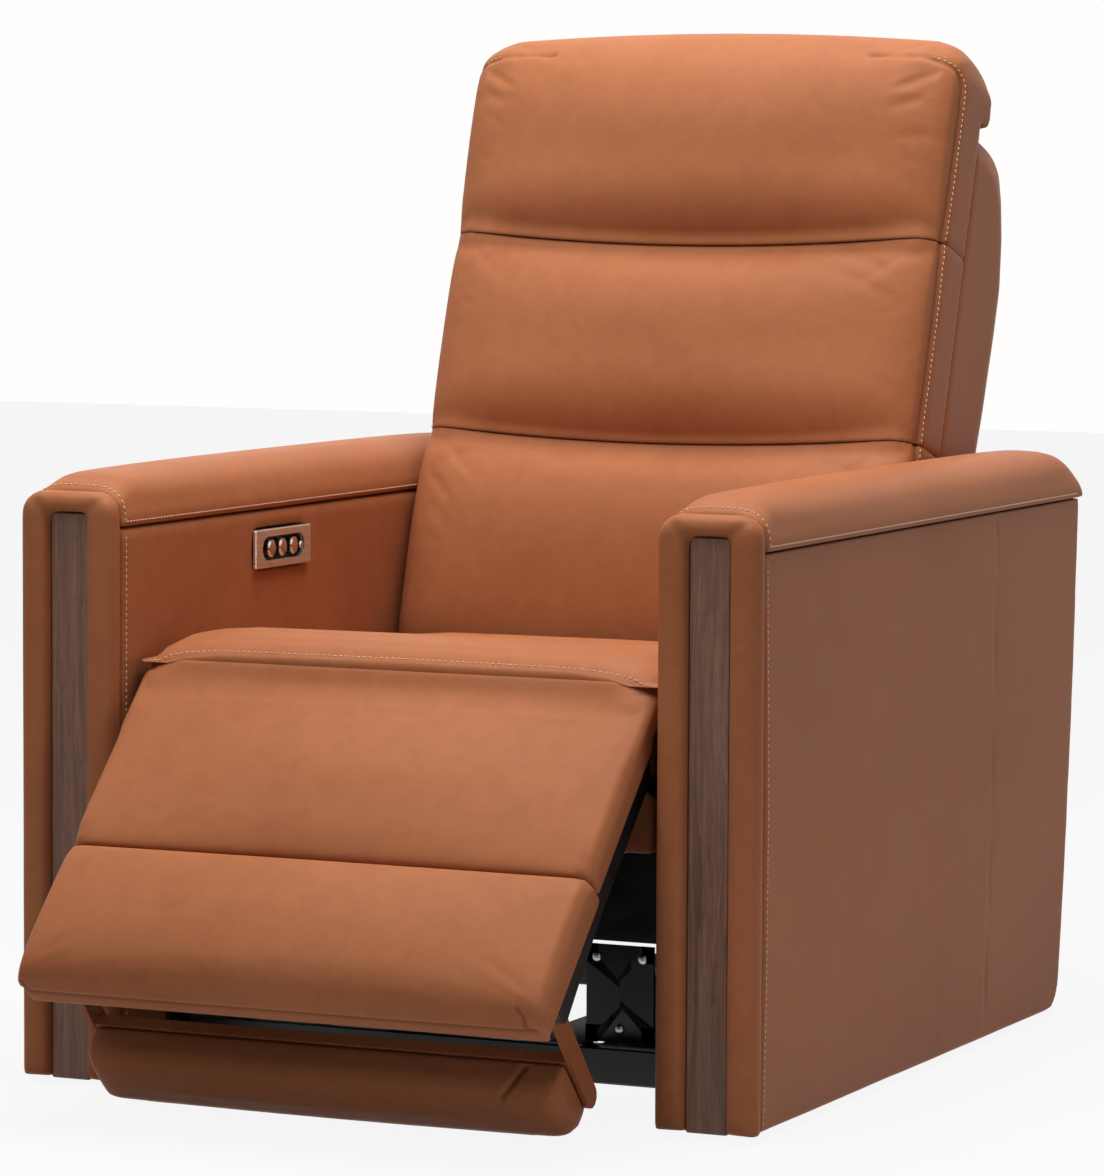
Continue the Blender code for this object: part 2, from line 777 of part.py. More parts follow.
def make_lift():
    y, z = crank_place
    reach = side_plate_gap - fit_gap
    tube = rod("torque_tube", (-reach, y, z), (reach, y, z), torque_tube_radius, black_steel)
    pin = swing(crank_place)
    for side, word in ((1, "right"), (-1, "left")):
        near, far = side * crank_half_gap, side * (crank_half_gap + crank_thickness)
        join(tube, bar("crank_" + word, crank_place, pin, 2 * pivot_eye, near, far, black_steel))
        end = side * (link_half_gap + link_thickness)
        join(tube, rod("crank_pin_" + word, (near, *pin), (end, *pin), pivot_pin, black_steel, 12))
        near, far = side * link_half_gap, side * (link_half_gap + link_thickness)
        link = bar("lift_link_" + word, pin, swing(foot_hinge), link_depth, near, far, black_steel)
        for index, place in enumerate((pin, swing(foot_hinge))):
            start, stop = (near - side * cut_overrun, *place), (far + side * cut_overrun, *place)
            cut(link, rod("link_hole_" + word + str(index), start, stop, pivot_pin + slide_gap,
                          black_steel, 12))
    lug_end = (y, z - lever_length * motor_lug_share)
    join(tube, bar("motor_lug", crank_place, lug_end, 2 * torque_tube_radius * lug_width_share,
                   -lug_thickness / 2, lug_thickness / 2, black_steel))
    width, length, height = motor_size
    rear = rear_rail_front - fit_gap
    motor = box("lift_motor", (-width / 2, rear - length, motor_foot),
                (width / 2, rear, motor_foot + height), dark_plastic, edge_soft)
    width, run, thick = track_size
    level = z - lever_length
    front = rear - length - run
    join(motor, box("lift_track", (-width / 2, front, level - thick / 2),
                    (width / 2, rear - length + cut_overrun, level + thick / 2), dark_plastic))
    inside, top = width / 2 + slide_gap, level + thick / 2 + slide_gap
    foot = level - thick / 2
    wall = carriage_wall
    outline = [(-inside - wall, foot), (-inside, foot), (-inside, top), (inside, top),
               (inside, foot), (inside + wall, foot), (inside + wall, top + wall / 2),
               (-inside - wall, top + wall / 2)]
    prism("lift_carriage", outline, carriage_place - carriage_length / 2,
          carriage_place + carriage_length / 2, "y", black_steel)


make_lift()


# Footrest
upper_face_shares = ((0.10, 0.0, 0.0), (0.30, 0.60, 0.0), (0.52, 1.0, 0.0), (0.74, 0.85, 0.0),
                     (0.90, 0.40, 0.02), (1.0, 0.0, 0.22))
lower_face_shares = ((0.0, 0.0, 0.16), (0.12, 0.45, 0.01), (0.32, 0.90, 0.0), (0.55, 1.0, 0.0),
                     (0.78, 0.80, 0.02), (0.92, 0.45, 0.13), (0.985, 0.20, 0.33), (1.0, 0.10, 0.60),
                     (0.985, 0.0, 0.86))


def foot_outline(points):
    return [on_foot(a, b) for a, b in points]


def make_footrest_pads():
    nose = foot_upper_thickness / 2
    steps = 6
    section = []
    for i in range(steps + 1):
        angle = math.pi / 2 + math.pi * i / steps
        draw = max(0.0, -math.sin(angle))
        section.append((nose * math.cos(angle), nose * math.sin(angle), 0, 0, 0, draw))
    top = [section.pop()]
    for along, lift, sink in upper_face_shares:
        top.append((foot_upper_length * along, foot_upper_thickness * sink - foot_pad_face, 0,
                    -foot_crown * lift, 0, 1))
    section += smooth_run(top, 2)
    section.append((foot_upper_length, nose, 0, 0, 0, 0))
    upper = pad("footrest_upper_pad", foot_half, foot_side_round, section, on_foot, leather)
    low, high = -nose - cut_overrun, nose + cut_overrun
    block = foot_outline(((low, low), (foot_nose_run, low), (foot_nose_run, high), (low, high)))
    rebates = [prism("nose_rebate_" + word, block, side * foot_nose_half,
                     side * (foot_half + cut_overrun), "x", leather)
               for side, word in ((1, "right"), (-1, "left"))]
    join(*rebates)
    cut(upper, rebates[0])
    start = foot_upper_length + fit_gap
    run, thick = foot_length - start, foot_lower_thickness
    top = []
    for along, lift, sink in lower_face_shares:
        top.append((start + run * along, thick * sink - foot_pad_face, 0, -foot_crown * lift, 0,
                    max(0.0, 1 - sink)))
    section = smooth_run(top, 2)
    back = thick - foot_pad_face
    section += [(foot_length - foot_board_inset, back, 0, 0, 0, 0), (start, back, 0, 0, 0, 0)]
    pad("footrest_lower_pad", foot_half, foot_side_round, section, on_foot, leather)


def make_bracket(name, side):
    """Steel arm from the footrest hinge, behind both pads, to the flipper hinge."""
    ear = lever_length * math.sqrt(0.5)
    pad_back = foot_upper_thickness / 2 + edge_soft
    board_back = foot_lower_thickness - foot_pad_face + foot_board_thickness + 2 * fit_gap
    mid = foot_upper_length - foot_board_inset
    shape = eye_ring((0, 0), pivot_eye, 110, 300, 7)
    shape += [(foot_nose_run - pivot_eye / 2, -pivot_pin), (foot_nose_run - edge_soft, pad_back),
              (mid - pivot_eye, pad_back), (mid, board_back)]
    shape += [(flip_hinge_along, board_back)]
    shape += eye_ring((flip_hinge_along, flip_hinge_behind), pivot_eye, -60, 90, 6)
    shape += [(mid + pivot_eye, flip_hinge_behind + pivot_eye / 4)]
    shape += eye_ring((ear, ear), pivot_eye, 60, 150, 4)
    shape += [(pivot_eye * ear_throat_shares[0], pivot_eye * ear_throat_shares[1])]
    near, far = side * bracket_gap, side * (bracket_gap + bracket_thickness)
    bracket = prism(name, foot_outline(shape), near, far, "x", black_steel)
    sink = near + side * bracket_thickness * pin_sink_share
    start, stop = (near - side * cut_overrun, *foot_hinge), (far + side * cut_overrun, *foot_hinge)
    cut(bracket, rod(name + "_hole", start, stop, pivot_pin + slide_gap, black_steel, 12))
    pins = [rod(name + word, (side * (flip_half + slide_gap), *place), (sink, *place), pivot_pin,
                black_steel, 12)
            for word, place in (("_link_pin", on_foot(ear, ear)),
                                ("_flip_pin", on_foot(flip_hinge_along, flip_hinge_behind)))]
    join(bracket, *pins)


def make_footrest():
    make_footrest_pads()
    back = foot_lower_thickness - foot_pad_face + fit_gap
    start, end = foot_upper_length + foot_board_inset, foot_length - foot_board_inset
    half = foot_half - foot_board_inset
    outline = ((start, back), (end, back), (end, back + foot_board_thickness),
               (start, back + foot_board_thickness))
    prism("footrest_board", foot_outline(outline), -half, half, "x", plywood)
    make_bracket("footrest_bracket_right", 1)
    make_bracket("footrest_bracket_left", -1)


make_footrest()


# Flipper
flip_section_shares = ((0.0, 0.0, 0.0), (0.0, 0.62, 0.0), (0.06, 0.88, 0.2), (0.20, 0.985, 0.6),
                       (0.50, 1.0, 1.0), (0.80, 0.985, 0.6), (0.94, 0.88, 0.2), (1.0, 0.62, 0.0),
                       (1.0, 0.0, 0.0))


def make_flipper():
    base = flip_back + flip_board_thickness
    run, rise = flip_far - flip_near, flip_face - base - fit_gap
    section = []
    for along, up, lift in flip_section_shares:
        section.append((flip_near + run * along, base + fit_gap + rise * up, 0, flip_crown * lift,
                        0, -up))
    pad("flipper_pad", flip_half - edge_soft, flip_corner, section, on_flipper, leather)
    outline = ((flip_near, flip_back), (flip_far, flip_back), (flip_far, base), (flip_near, base))
    outline = [on_flipper(a, b) for a, b in outline]
    board = prism("flipper_board", outline, -flip_half, flip_half, "x", plywood)
    pivot = on_flipper(0, 0)
    tip = on_flipper(flip_far - pivot_eye, (flip_back + base) / 2)
    for side, word in ((1, "right"), (-1, "left")):
        near = side * (flip_half - edge_soft / 2)
        far = side * (flip_half + flip_arm_thickness)
        join(board, bar("flipper_arm_" + word, pivot, tip, 2 * pivot_eye, near, far, black_steel))
        start, stop = (near - side * cut_overrun, *pivot), (far + side * cut_overrun, *pivot)
        cut(board, rod("flipper_hole_" + word, start, stop, pivot_pin + slide_gap, black_steel, 12))


make_flipper()


# Backrest
lumbar_shares = ((0.0, 0.28, 0.0, 0.6), (0.035, 0.11, 0.10, 1.0), (0.10, 0.03, 0.25, 1.0),
                 (0.30, 0.0, 0.70, 1.0), (0.55, -0.02, 1.0, 1.0), (0.78, 0.0, 0.85, 1.0),
                 (0.90, 0.06, 0.50, 1.0), (0.96, 0.17, 0.20, 0.7), (1.0, 0.32, 0.0, 0.3))
middle_shares = ((0.0, 0.32, 0.0, 0.3), (0.045, 0.17, 0.20, 0.7), (0.11, 0.10, 0.50, 1.0),
                 (0.30, 0.085, 0.95, 1.0), (0.55, 0.08, 1.0, 1.0), (0.76, 0.085, 0.85, 1.0),
                 (0.89, 0.11, 0.45, 1.0), (0.95, 0.20, 0.15, 0.7), (1.0, 0.364, 0.0, 0.3))
head_shares = ((0.0, 0.364, 0.0, 0.3), (0.05, 0.19, 0.15, 0.7), (0.11, 0.10, 0.40, 1.0),
               (0.28, 0.075, 0.85, 1.0), (0.50, 0.055, 1.0, 1.0), (0.72, 0.06, 0.80, 1.0),
               (0.87, 0.12, 0.45, 1.0), (0.955, 0.28, 0.20, 0.8), (1.0, 0.60, 0.10, 0.4),
               (0.985, 0.92, 0.0, 0.0), (0.94, 1.13, 0.0, 0.0), (0.86, 1.24, 0.0, 0.0))
head_top_crown_share = 0.6
shell_rear_shares = ((0.0, 0.83), (0.18, 0.88), (0.38, 0.93), (0.56, 0.975), (0.70, 1.0),
                     (0.78, 1.0), (0.87, 0.955), (0.94, 0.885), (0.98, 0.82), (0.995, 0.74),
                     (1.0, 0.66))


def face_section(start, end, shares, top=False):
    """Cushion points from its lower seam over the crowned face to its upper seam."""
    rows = []
    for along, deep, lift, draw in shares:
        above = max(0.0, (along - 0.8) / 0.2) if top else 0.0
        rows.append((start + (end - start) * along, back_depth * deep,
                     above * back_crown * head_top_crown_share, -back_crown * lift,
                     -above, draw))
    return smooth_run(rows, 2)


def make_back_cushions():
    section = face_section(lumbar_start, lumbar_end - fit_gap, lumbar_shares)
    section += [(lumbar_end - fit_gap, back_depth, 0, 0, 0, 0),
                (lumbar_start, back_depth, 0, 0, 0, 0)]
    pad("lumbar_cushion", back_half, back_side_round, section, on_back, leather)
    section = face_section(lumbar_end, middle_end - fit_gap, middle_shares)
    section += [(middle_end - fit_gap, back_depth, 0, 0, 0, 0), (lumbar_end, back_depth, 0, 0, 0, 0)]
    middle = pad("middle_cushion", back_half, back_side_round, section, on_back, leather)
    section = face_section(middle_end, head_end, head_shares, top=True)
    ledge = shell_end + edge_soft
    section += [(ledge, head_thickness, 0, 0, 0, 0), (ledge, back_depth, 0, 0, 0, 0),
                (middle_end, back_depth, 0, 0, 0, 0)]
    head = pad("head_cushion", back_half, back_side_round, section, on_back, leather)
    clear = head_eye + pivot_pin
    low, high = middle_end - post_depth - clear * 2, head_board_start + clear
    front, rear = head_axis_behind - clear, back_depth + cut_overrun
    outline = [on_back(*p) for p in ((low, front), (high, front), (high, rear), (low, rear))]
    near = head_plate_place - edge_soft
    far = post_inner() + head_plate + edge_soft
    pockets = [prism("hinge_pocket_" + word, outline, side * near, side * far, "x", leather)
               for side, word in ((1, "right"), (-1, "left"))]
    join(*pockets)
    cut(head, pockets[0])
    cut(middle, pockets[0])


def post_inner():
    return side_plate_gap - fit_gap - post_width


def make_back_frame():
    axis = on_back(middle_end, head_axis_behind)
    hinge = on_back(back_hinge_along, back_hinge_behind)
    rear = post_front + post_depth
    outline = ((post_start, post_front), (post_end, post_front), (post_end, rear),
               (post_start, rear))
    outline = [on_back(*p) for p in outline]
    root = on_back(middle_end - post_depth, post_front + pivot_eye)
    post_plate = head_plate_place + head_plate + slide_gap
    for side, word in ((1, "right"), (-1, "left")):
        near, far = side * post_inner(), side * (post_inner() + post_width)
        post = prism("back_post_" + word, outline, near, far, "x", plywood)
        start, stop = (far - side * (back_pin_reach + edge_soft), *hinge), (far + side, *hinge)
        stop = (far + side * cut_overrun, *hinge)
        cut(post, rod("back_hinge_hole_" + word, start, stop, pivot_pin + slide_gap, plywood, 12))
        arm_far = side * (post_inner() + head_plate)
        join(post, bar("head_bearer_" + word, axis, root, 2 * head_eye, side * post_plate, arm_far,
                       black_steel))
        pin_end = (side * head_plate_place, *axis)
        join(post, rod("head_pin_" + word, pin_end, (side * (post_plate + edge_soft), *axis),
                       head_rod_radius, black_steel, 12))
    inner = post_inner() - fit_gap
    low, high = back_hinge_along - back_rail_height / 2, back_hinge_along + back_rail_height / 2
    thick = back_rail_thickness
    outline = ((low, post_front), (high, post_front), (high, post_front + thick),
               (low, post_front + thick))
    rail = prism("back_rail", [on_back(*p) for p in outline], -inner, inner, "x", plywood)
    lug_pin = (rod_end + pivot_eye + slide_gap, recline_height)
    lug_root = on_back(back_hinge_along, post_front + thick / 2)
    join(rail, bar("recline_lug", lug_root, lug_pin, 2 * pivot_eye,
                   recline_shift - lug_thickness / 2, recline_shift + lug_thickness / 2,
                   black_steel))


def make_shell():
    """Padded outside back: a tray, open to the front and below."""
    span = shell_end - shell_start
    rows = [(shell_start + span * a, shell_rear * b, 0, 0, -shell_top_draw(a), -b)
            for a, b in shell_rear_shares]
    section = smooth_run(rows, 1)
    front = back_depth + fit_gap
    section += [(shell_end, front, 0, 0, -1, 0), (shell_start, front, 0, 0, 0, 0)]
    shell = pad("back_shell", shell_half, shell_round, section, on_back, leather)
    hollow = [(shell_start + span * a - (shell_wall if a > 0.9 else 0), shell_rear * b - shell_wall)
              for a, b in shell_rear_shares if a < 0.985]
    hollow[0] = (shell_start - cut_overrun, hollow[0][1])
    roof = shell_end - shell_wall
    hollow += [(roof, shell_rear * 0.66), (roof, front - cut_overrun),
               (shell_start - cut_overrun, front - cut_overrun)]
    inner = shell_half - shell_wall
    cut(shell, prism("shell_hollow", [on_back(*p) for p in hollow], -inner, inner, "x", leather))


def shell_top_draw(share):
    return max(0.0, (share - 0.8) / 0.2)


def make_head_parts():
    front, rear = back_depth + fit_gap, back_depth + fit_gap + head_board_thickness
    half = post_inner()
    outline = ((head_board_start, front), (head_board_end, front), (head_board_end, rear),
               (head_board_start, rear))
    board = prism("head_board", [on_back(*p) for p in outline], -half, half, "x", plywood)
    axis = on_back(middle_end, head_axis_behind)
    root = on_back(head_board_start, (front + rear) / 2)
    for side, word in ((1, "right"), (-1, "left")):
        near, far = side * head_plate_place, side * (head_plate_place + head_plate)
        join(board, bar("head_arm_" + word, axis, root, 2 * head_eye, near, far, black_steel))
        start, stop = (near - side * cut_overrun, *axis), (far + side * cut_overrun, *axis)
        cut(board, rod("head_hole_" + word, start, stop, head_rod_radius + slide_gap,
                       black_steel, 12))
    lug_low, lug_high = head_board_start, head_board_start + lug_thickness
    reach = head_drive_behind + head_drive_box[2] / 2
    outline = ((lug_low, (front + rear) / 2), (lug_high, (front + rear) / 2), (lug_high, reach),
               (lug_low, reach))
    join(board, prism("head_lug", [on_back(*p) for p in outline], -lug_thickness / 2,
                      lug_thickness / 2, "x", black_steel))


def make_drives():
    width, length, height = recline_box
    rear = rear_rail_front - fit_gap
    low = (recline_shift - width / 2, rear - length, recline_height - height / 2)
    high = (recline_shift + width / 2, rear, recline_height + height / 2)
    drive = box("recline_drive", low, high, dark_plastic, edge_soft)
    bore = rod_radius + rod_gap
    deep = rear - rod_rest_inside - recline_stroke - edge_soft
    start = (recline_shift, deep, recline_height)
    stop = (recline_shift, rear_rail_front + rear_rail_thickness + cut_overrun, recline_height)
    tunnel = rod("recline_tunnel", start, stop, bore, dark_plastic)
    cut(drive, tunnel)
    cut(rear_rail, tunnel)
    rod("recline_rod", (recline_shift, rear - rod_rest_inside, recline_height),
        (recline_shift, rod_end, recline_height), rod_radius, chrome)
    width, length, height = head_drive_box
    start, end = head_drive_start, head_drive_start + length
    front, back = head_drive_behind, head_drive_behind + height
    outline = ((start, front), (end, front), (end, back), (start, back))
    box_shape = [on_back(*p) for p in outline]
    drive = prism("head_drive", box_shape, -width / 2, width / 2, "x", dark_plastic)
    middle = (start + end) / 2
    post_rear = post_front + post_depth + fit_gap
    strap = ((middle - pivot_eye, post_rear), (middle + pivot_eye, post_rear),
             (middle + pivot_eye, front + edge_soft), (middle - pivot_eye, front + edge_soft))
    reach = post_inner() + post_width - edge_soft
    join(drive, prism("head_strap", [on_back(*p) for p in strap], -reach, reach, "x", black_steel))
    level = front + height / 2
    bottom, top = end - head_rod_in, head_board_start - edge_soft
    mouth, floor = on_back(end + cut_overrun, level), on_back(bottom - edge_soft, level)
    cut(drive, rod("head_bore", (0, *floor), (0, *mouth), head_drive_rod + rod_gap, dark_plastic))
    low, high = on_back(bottom, level), on_back(top, level)
    rod("head_rod", (0, *low), (0, *high), head_drive_rod, chrome)


make_back_cushions()
make_back_frame()
make_shell()
make_head_parts()
make_drives()


# Joints: an empty on each axis carries the pieces that move with it
carried = {
    "chair": (None, (0, 0), ()),
    "seat": ("chair", (0, 0), ("seat_", "lift_motor", "recline_drive")),
    "back": ("seat", on_back(back_hinge_along, back_hinge_behind),
             ("back_", "lumbar_", "middle_", "head_drive")),
    "headrest": ("back", on_back(middle_end, head_axis_behind), ("head_board", "head_cushion")),
    "head_push": ("back", on_back(middle_end, head_drive_behind), ("head_rod",)),
    "recline_push": ("seat", (rod_end, recline_height), ("recline_rod",)),
    "footrest": ("seat", foot_hinge, ("footrest_",)),
    "flipper": ("footrest", on_foot(flip_hinge_along, flip_hinge_behind), ("flipper_",)),
    "lift_crank": ("seat", crank_place, ("torque_tube",)),
    "lift_links": ("lift_crank", swing(crank_place), ("lift_link_",)),
    "lift_screw": ("seat", (carriage_place, crank_place[1] - lever_length), ("lift_carriage",)),
}


def hang_pieces():
    pieces = list(bpy.data.objects)
    empties = {}
    for name, (parent, place, starts) in carried.items():
        empty = bpy.data.objects.new(name, None)
        bpy.context.collection.objects.link(empty)
        empties[name] = empty
        here = Vector((0, *place))
        if parent:
            empty.parent = empties[parent]
            empty.location = here - Vector((0, *carried[parent][1]))
        else:
            empty.location.y = -half_open_middle
        for piece in pieces:
            if piece.name.startswith(starts or ("arm_", "base_", "glide_", "switch_", "power_")):
                piece.parent = empty
                piece.location = -here
    for piece in pieces:
        if piece.name.startswith("button_") and not piece.hide_render:
            piece.parent = empties["chair"]
        elif piece.hide_render:
            piece.parent = empties["chair"]
            piece.location = (0, 0, 0)


hang_pieces()
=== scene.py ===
# %% [markdown]
# The reclining armchair, dressed
# The measured solids come in first, in metres, standing on the floor and facing minus Y.
# Everything that follows is put on them: leather cushions, seams, stitching, oak and metal.
# A reader could model the whole chair freely, but building on the solids keeps every hinge
# in its place, so the footrest, the back and the head section can still move.

# %% The frame and its size
import json
import math

import bmesh
import bpy
import numpy as np
from mathutils import Matrix, Vector, noise
from mathutils.bvhtree import BVHTree


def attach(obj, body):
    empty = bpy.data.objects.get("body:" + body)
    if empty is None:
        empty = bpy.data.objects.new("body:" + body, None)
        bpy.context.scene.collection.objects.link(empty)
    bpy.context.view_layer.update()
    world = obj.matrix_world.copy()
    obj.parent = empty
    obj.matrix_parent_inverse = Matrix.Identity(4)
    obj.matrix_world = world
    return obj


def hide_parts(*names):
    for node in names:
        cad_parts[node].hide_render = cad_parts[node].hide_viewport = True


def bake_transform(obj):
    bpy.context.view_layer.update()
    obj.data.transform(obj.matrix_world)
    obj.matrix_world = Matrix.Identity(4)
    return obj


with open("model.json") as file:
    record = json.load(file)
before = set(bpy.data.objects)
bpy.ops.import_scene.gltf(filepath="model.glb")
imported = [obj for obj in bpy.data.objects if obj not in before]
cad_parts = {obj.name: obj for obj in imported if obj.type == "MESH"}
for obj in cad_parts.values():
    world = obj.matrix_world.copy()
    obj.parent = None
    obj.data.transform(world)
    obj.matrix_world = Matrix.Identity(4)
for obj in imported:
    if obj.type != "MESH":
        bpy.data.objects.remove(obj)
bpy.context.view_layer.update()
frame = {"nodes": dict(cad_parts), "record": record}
nodes = frame["nodes"]
sides = ((-1, "left"), (1, "right"))
bpy.ops.object.select_all(action='DESELECT')

# %% [markdown]
# Where the camera stands
# The chair was photographed with a long lens from its front right corner, a little above
# the arms. A long lens keeps the upright lines nearly parallel. The camera is placed by
# its turn and height around one point inside the chair, because those two angles can be
# read off the picture, and then it leans by a third of a degree as the real one did.

# %% Camera
turn, height, lean = math.radians(24.5482), math.radians(4.774), math.radians(0.3147)
looks_at = Vector((0.184, -0.3834, 0.5408))
camera_distance = 5.482
back = Vector((math.sin(turn) * math.cos(height), -math.cos(turn) * math.cos(height),
               math.sin(height)))
bpy.ops.object.camera_add(location=looks_at + back * camera_distance)
camera = bpy.context.object
camera.data.lens = 168.37
camera.data.sensor_width = 36.0
camera.data.clip_end = 60.0
tracked = back.to_track_quat('Z', 'Y').to_matrix()
camera.rotation_euler = (tracked @ Matrix.Rotation(lean, 3, 'Z')).to_euler()
bpy.context.scene.camera = camera
print("camera at", [round(v, 3) for v in camera.location])

# %% [markdown]
# The floor and the light
# A product picture like this one is taken on a white sweep under big soft lamps. Here the
# floor is a wide plane, nearly white to the camera, and it still takes the chair's soft
# shadow. Mixing in white for seen and mirrored rays only keeps the floor from lighting the chair.

# %% A helper that adds one node
def add_node(tree, kind, sockets, out=0, **settings):
    """Add a node whose sockets take numbers, colours or links, and give one output."""
    node = tree.nodes.new("ShaderNode" + kind)
    for name, value in settings.items():
        setattr(node, name, value)
    for name, value in sockets.items():
        if isinstance(value, bpy.types.NodeSocket):
            tree.links.new(value, node.inputs[name])
        else:
            node.inputs[name].default_value = value
    return node.outputs[out]


def seen_or_mirrored(tree):
    """1 for rays that come from the camera or off metal and glass, and 0 for other light."""
    path = tree.nodes.new("ShaderNodeLightPath").outputs
    total = path["Is Camera Ray"]
    for kind in ("Is Glossy Ray", "Is Transmission Ray"):
        total = add_node(tree, "Math", {0: total, 1: path[kind]}, operation='MAXIMUM')
    return total


print("nodes are added with their sockets filled")

# %% Floor
bpy.ops.mesh.primitive_plane_add(size=24.0, location=(0.0, 0.0, 0.0))
floor = bpy.context.object
floor.name = "studio_floor"
floor_look = bpy.data.materials.new("studio_floor")
floor_look.use_nodes = True
tree = floor_look.node_tree
matte = tree.nodes["Principled BSDF"]
matte.inputs["Base Color"].default_value = (0.50, 0.49, 0.48, 1.0)
matte.inputs["Roughness"].default_value = 0.9
white_share = 0.90
share = add_node(tree, "Math", {0: seen_or_mirrored(tree), 1: white_share}, operation='MULTIPLY')
mixed = add_node(tree, "MixShader", {0: share, 1: matte.outputs[0],
                                     2: add_node(tree, "Emission", {})})
tree.links.new(mixed, tree.nodes["Material Output"].inputs["Surface"])
floor.data.materials.append(floor_look)
print("floor", floor.name)

# %% World
world = bpy.data.worlds.new("studio")
bpy.context.scene.world = world
world.use_nodes = True
tree = world.node_tree
sky = tree.nodes["Background"]
sky.inputs["Color"].default_value = (1.0, 0.99, 0.98, 1.0)
fill_light = 0.13
strength = add_node(tree, "MapRange", {"Value": seen_or_mirrored(tree), "To Min": fill_light,
                                       "To Max": 1.0})
tree.links.new(strength, sky.inputs["Strength"])
bpy.context.scene.view_settings.view_transform = 'Standard'
print("world", world.name)


# %% Lamps
def soft_lamp(name, place, aim, width, tall, power, colour):
    """A big rectangular lamp that points at one spot."""
    bpy.ops.object.light_add(type='AREA', location=place)
    lamp = bpy.context.object
    lamp.name = name
    lamp.data.shape = 'RECTANGLE'
    lamp.data.size = width
    lamp.data.size_y = tall
    lamp.data.energy = power
    lamp.data.color = colour
    facing = Vector(aim) - Vector(place)
    lamp.rotation_euler = facing.to_track_quat('-Z', 'Y').to_euler()
    return lamp


middle = (0.0, -0.1, 0.55)
key = soft_lamp("key_lamp", (-1.3, -2.3, 3.4), (0.0, 0.12, 0.60), 2.4, 1.6, 3.2,
                (1.0, 0.98, 0.95))
key.data.spread = math.radians(38)
side = soft_lamp("side_lamp", (3.6, -1.6, 0.80), middle, 1.6, 1.0, 9.0, (1.0, 0.98, 0.96))
top = soft_lamp("top_lamp", (0.1, -0.1, 3.6), middle, 2.6, 2.0, 146.0, (1.0, 1.0, 1.0))
print("lamps", key.name, side.name, top.name)

# %% [markdown]
# The finishes
# Each material is a small node tree. Patterns read Object coordinates, which are metres
# here because every piece keeps its place in its mesh, so a scale of 900 means cells about
# a millimetre apart. Leather could be a photograph wrapped on the chair, but noise and
# cells made by nodes stay sharp at any distance and need no unwrapping.


# %% Helpers for node trees
def new_look(name):
    """A material, its tree, its shader and its Object coordinates."""
    look = bpy.data.materials.new(name)
    look.use_nodes = True
    tree = look.node_tree
    place = tree.nodes.new("ShaderNodeTexCoord").outputs["Object"]
    return look, tree, tree.nodes["Principled BSDF"], place


def stretched(tree, place, scale=(1.0, 1.0, 1.0), turn=(0.0, 0.0, 0.0)):
    """Coordinates that are scaled and turned, for grain that runs one way."""
    return add_node(tree, "Mapping", {"Vector": place, "Scale": scale, "Rotation": turn})


def noise_field(tree, place, scale, detail=2.0, rough=0.5, twist=0.0):
    """Noise at one scale, or drawn out with a scale for each axis."""
    if isinstance(scale, tuple):
        place, scale = stretched(tree, place, scale), 1.0
    return add_node(tree, "TexNoise", {"Vector": place, "Scale": scale, "Detail": detail,
                                       "Roughness": rough, "Distortion": twist})


def cells(tree, place, scale):
    """The distance to the nearest edge between cells."""
    return add_node(tree, "TexVoronoi", {"Vector": place, "Scale": scale},
                    feature='DISTANCE_TO_EDGE')


def ramp(tree, value, stops):
    """Colours along a value: stops are (where, red, green, blue)."""
    node = tree.nodes.new("ShaderNodeValToRGB")
    while len(node.color_ramp.elements) < len(stops):
        node.color_ramp.elements.new(0.5)
    for stop, (where, *colour) in zip(node.color_ramp.elements, stops):
        stop.position = where
        stop.color = (*colour, 1.0)
    tree.links.new(value, node.inputs[0])
    return node.outputs[0]


def remap(tree, value, low, high, to_low, to_high):
    """Carry a value from one range to another, clamped."""
    return add_node(tree, "MapRange", {"Value": value, "From Min": low, "From Max": high,
                                       "To Min": to_low, "To Max": to_high})


def multiply(tree, first, second):
    return add_node(tree, "Math", {0: first, 1: second}, operation='MULTIPLY')


def blend_colours(tree, mode, amount, first, second):
    """Blend two colours, each a tuple or a link."""
    first, second = (c + (1.0,) if isinstance(c, tuple) else c for c in (first, second))
    return add_node(tree, "Mix", {0: amount, 6: first, 7: second}, 2, data_type='RGBA',
                    blend_type=mode)


def finish_look(tree, shader, colour, rough, heights, metal=0.0):
    """Colour, roughness (a number or a socket) and a bump per (height, strength, depth)."""
    tree.links.new(colour, shader.inputs["Base Color"])
    if isinstance(rough, float):
        shader.inputs["Roughness"].default_value = rough
    else:
        tree.links.new(rough, shader.inputs["Roughness"])
    shader.inputs["Metallic"].default_value = metal
    normal = None
    for value, strength, depth in heights:
        below = {"Normal": normal} if normal else {}
        normal = add_node(tree, "Bump", {"Height": value, "Strength": strength,
                                         "Distance": depth, **below})
    tree.links.new(normal, shader.inputs["Normal"])


print("node helpers ready")
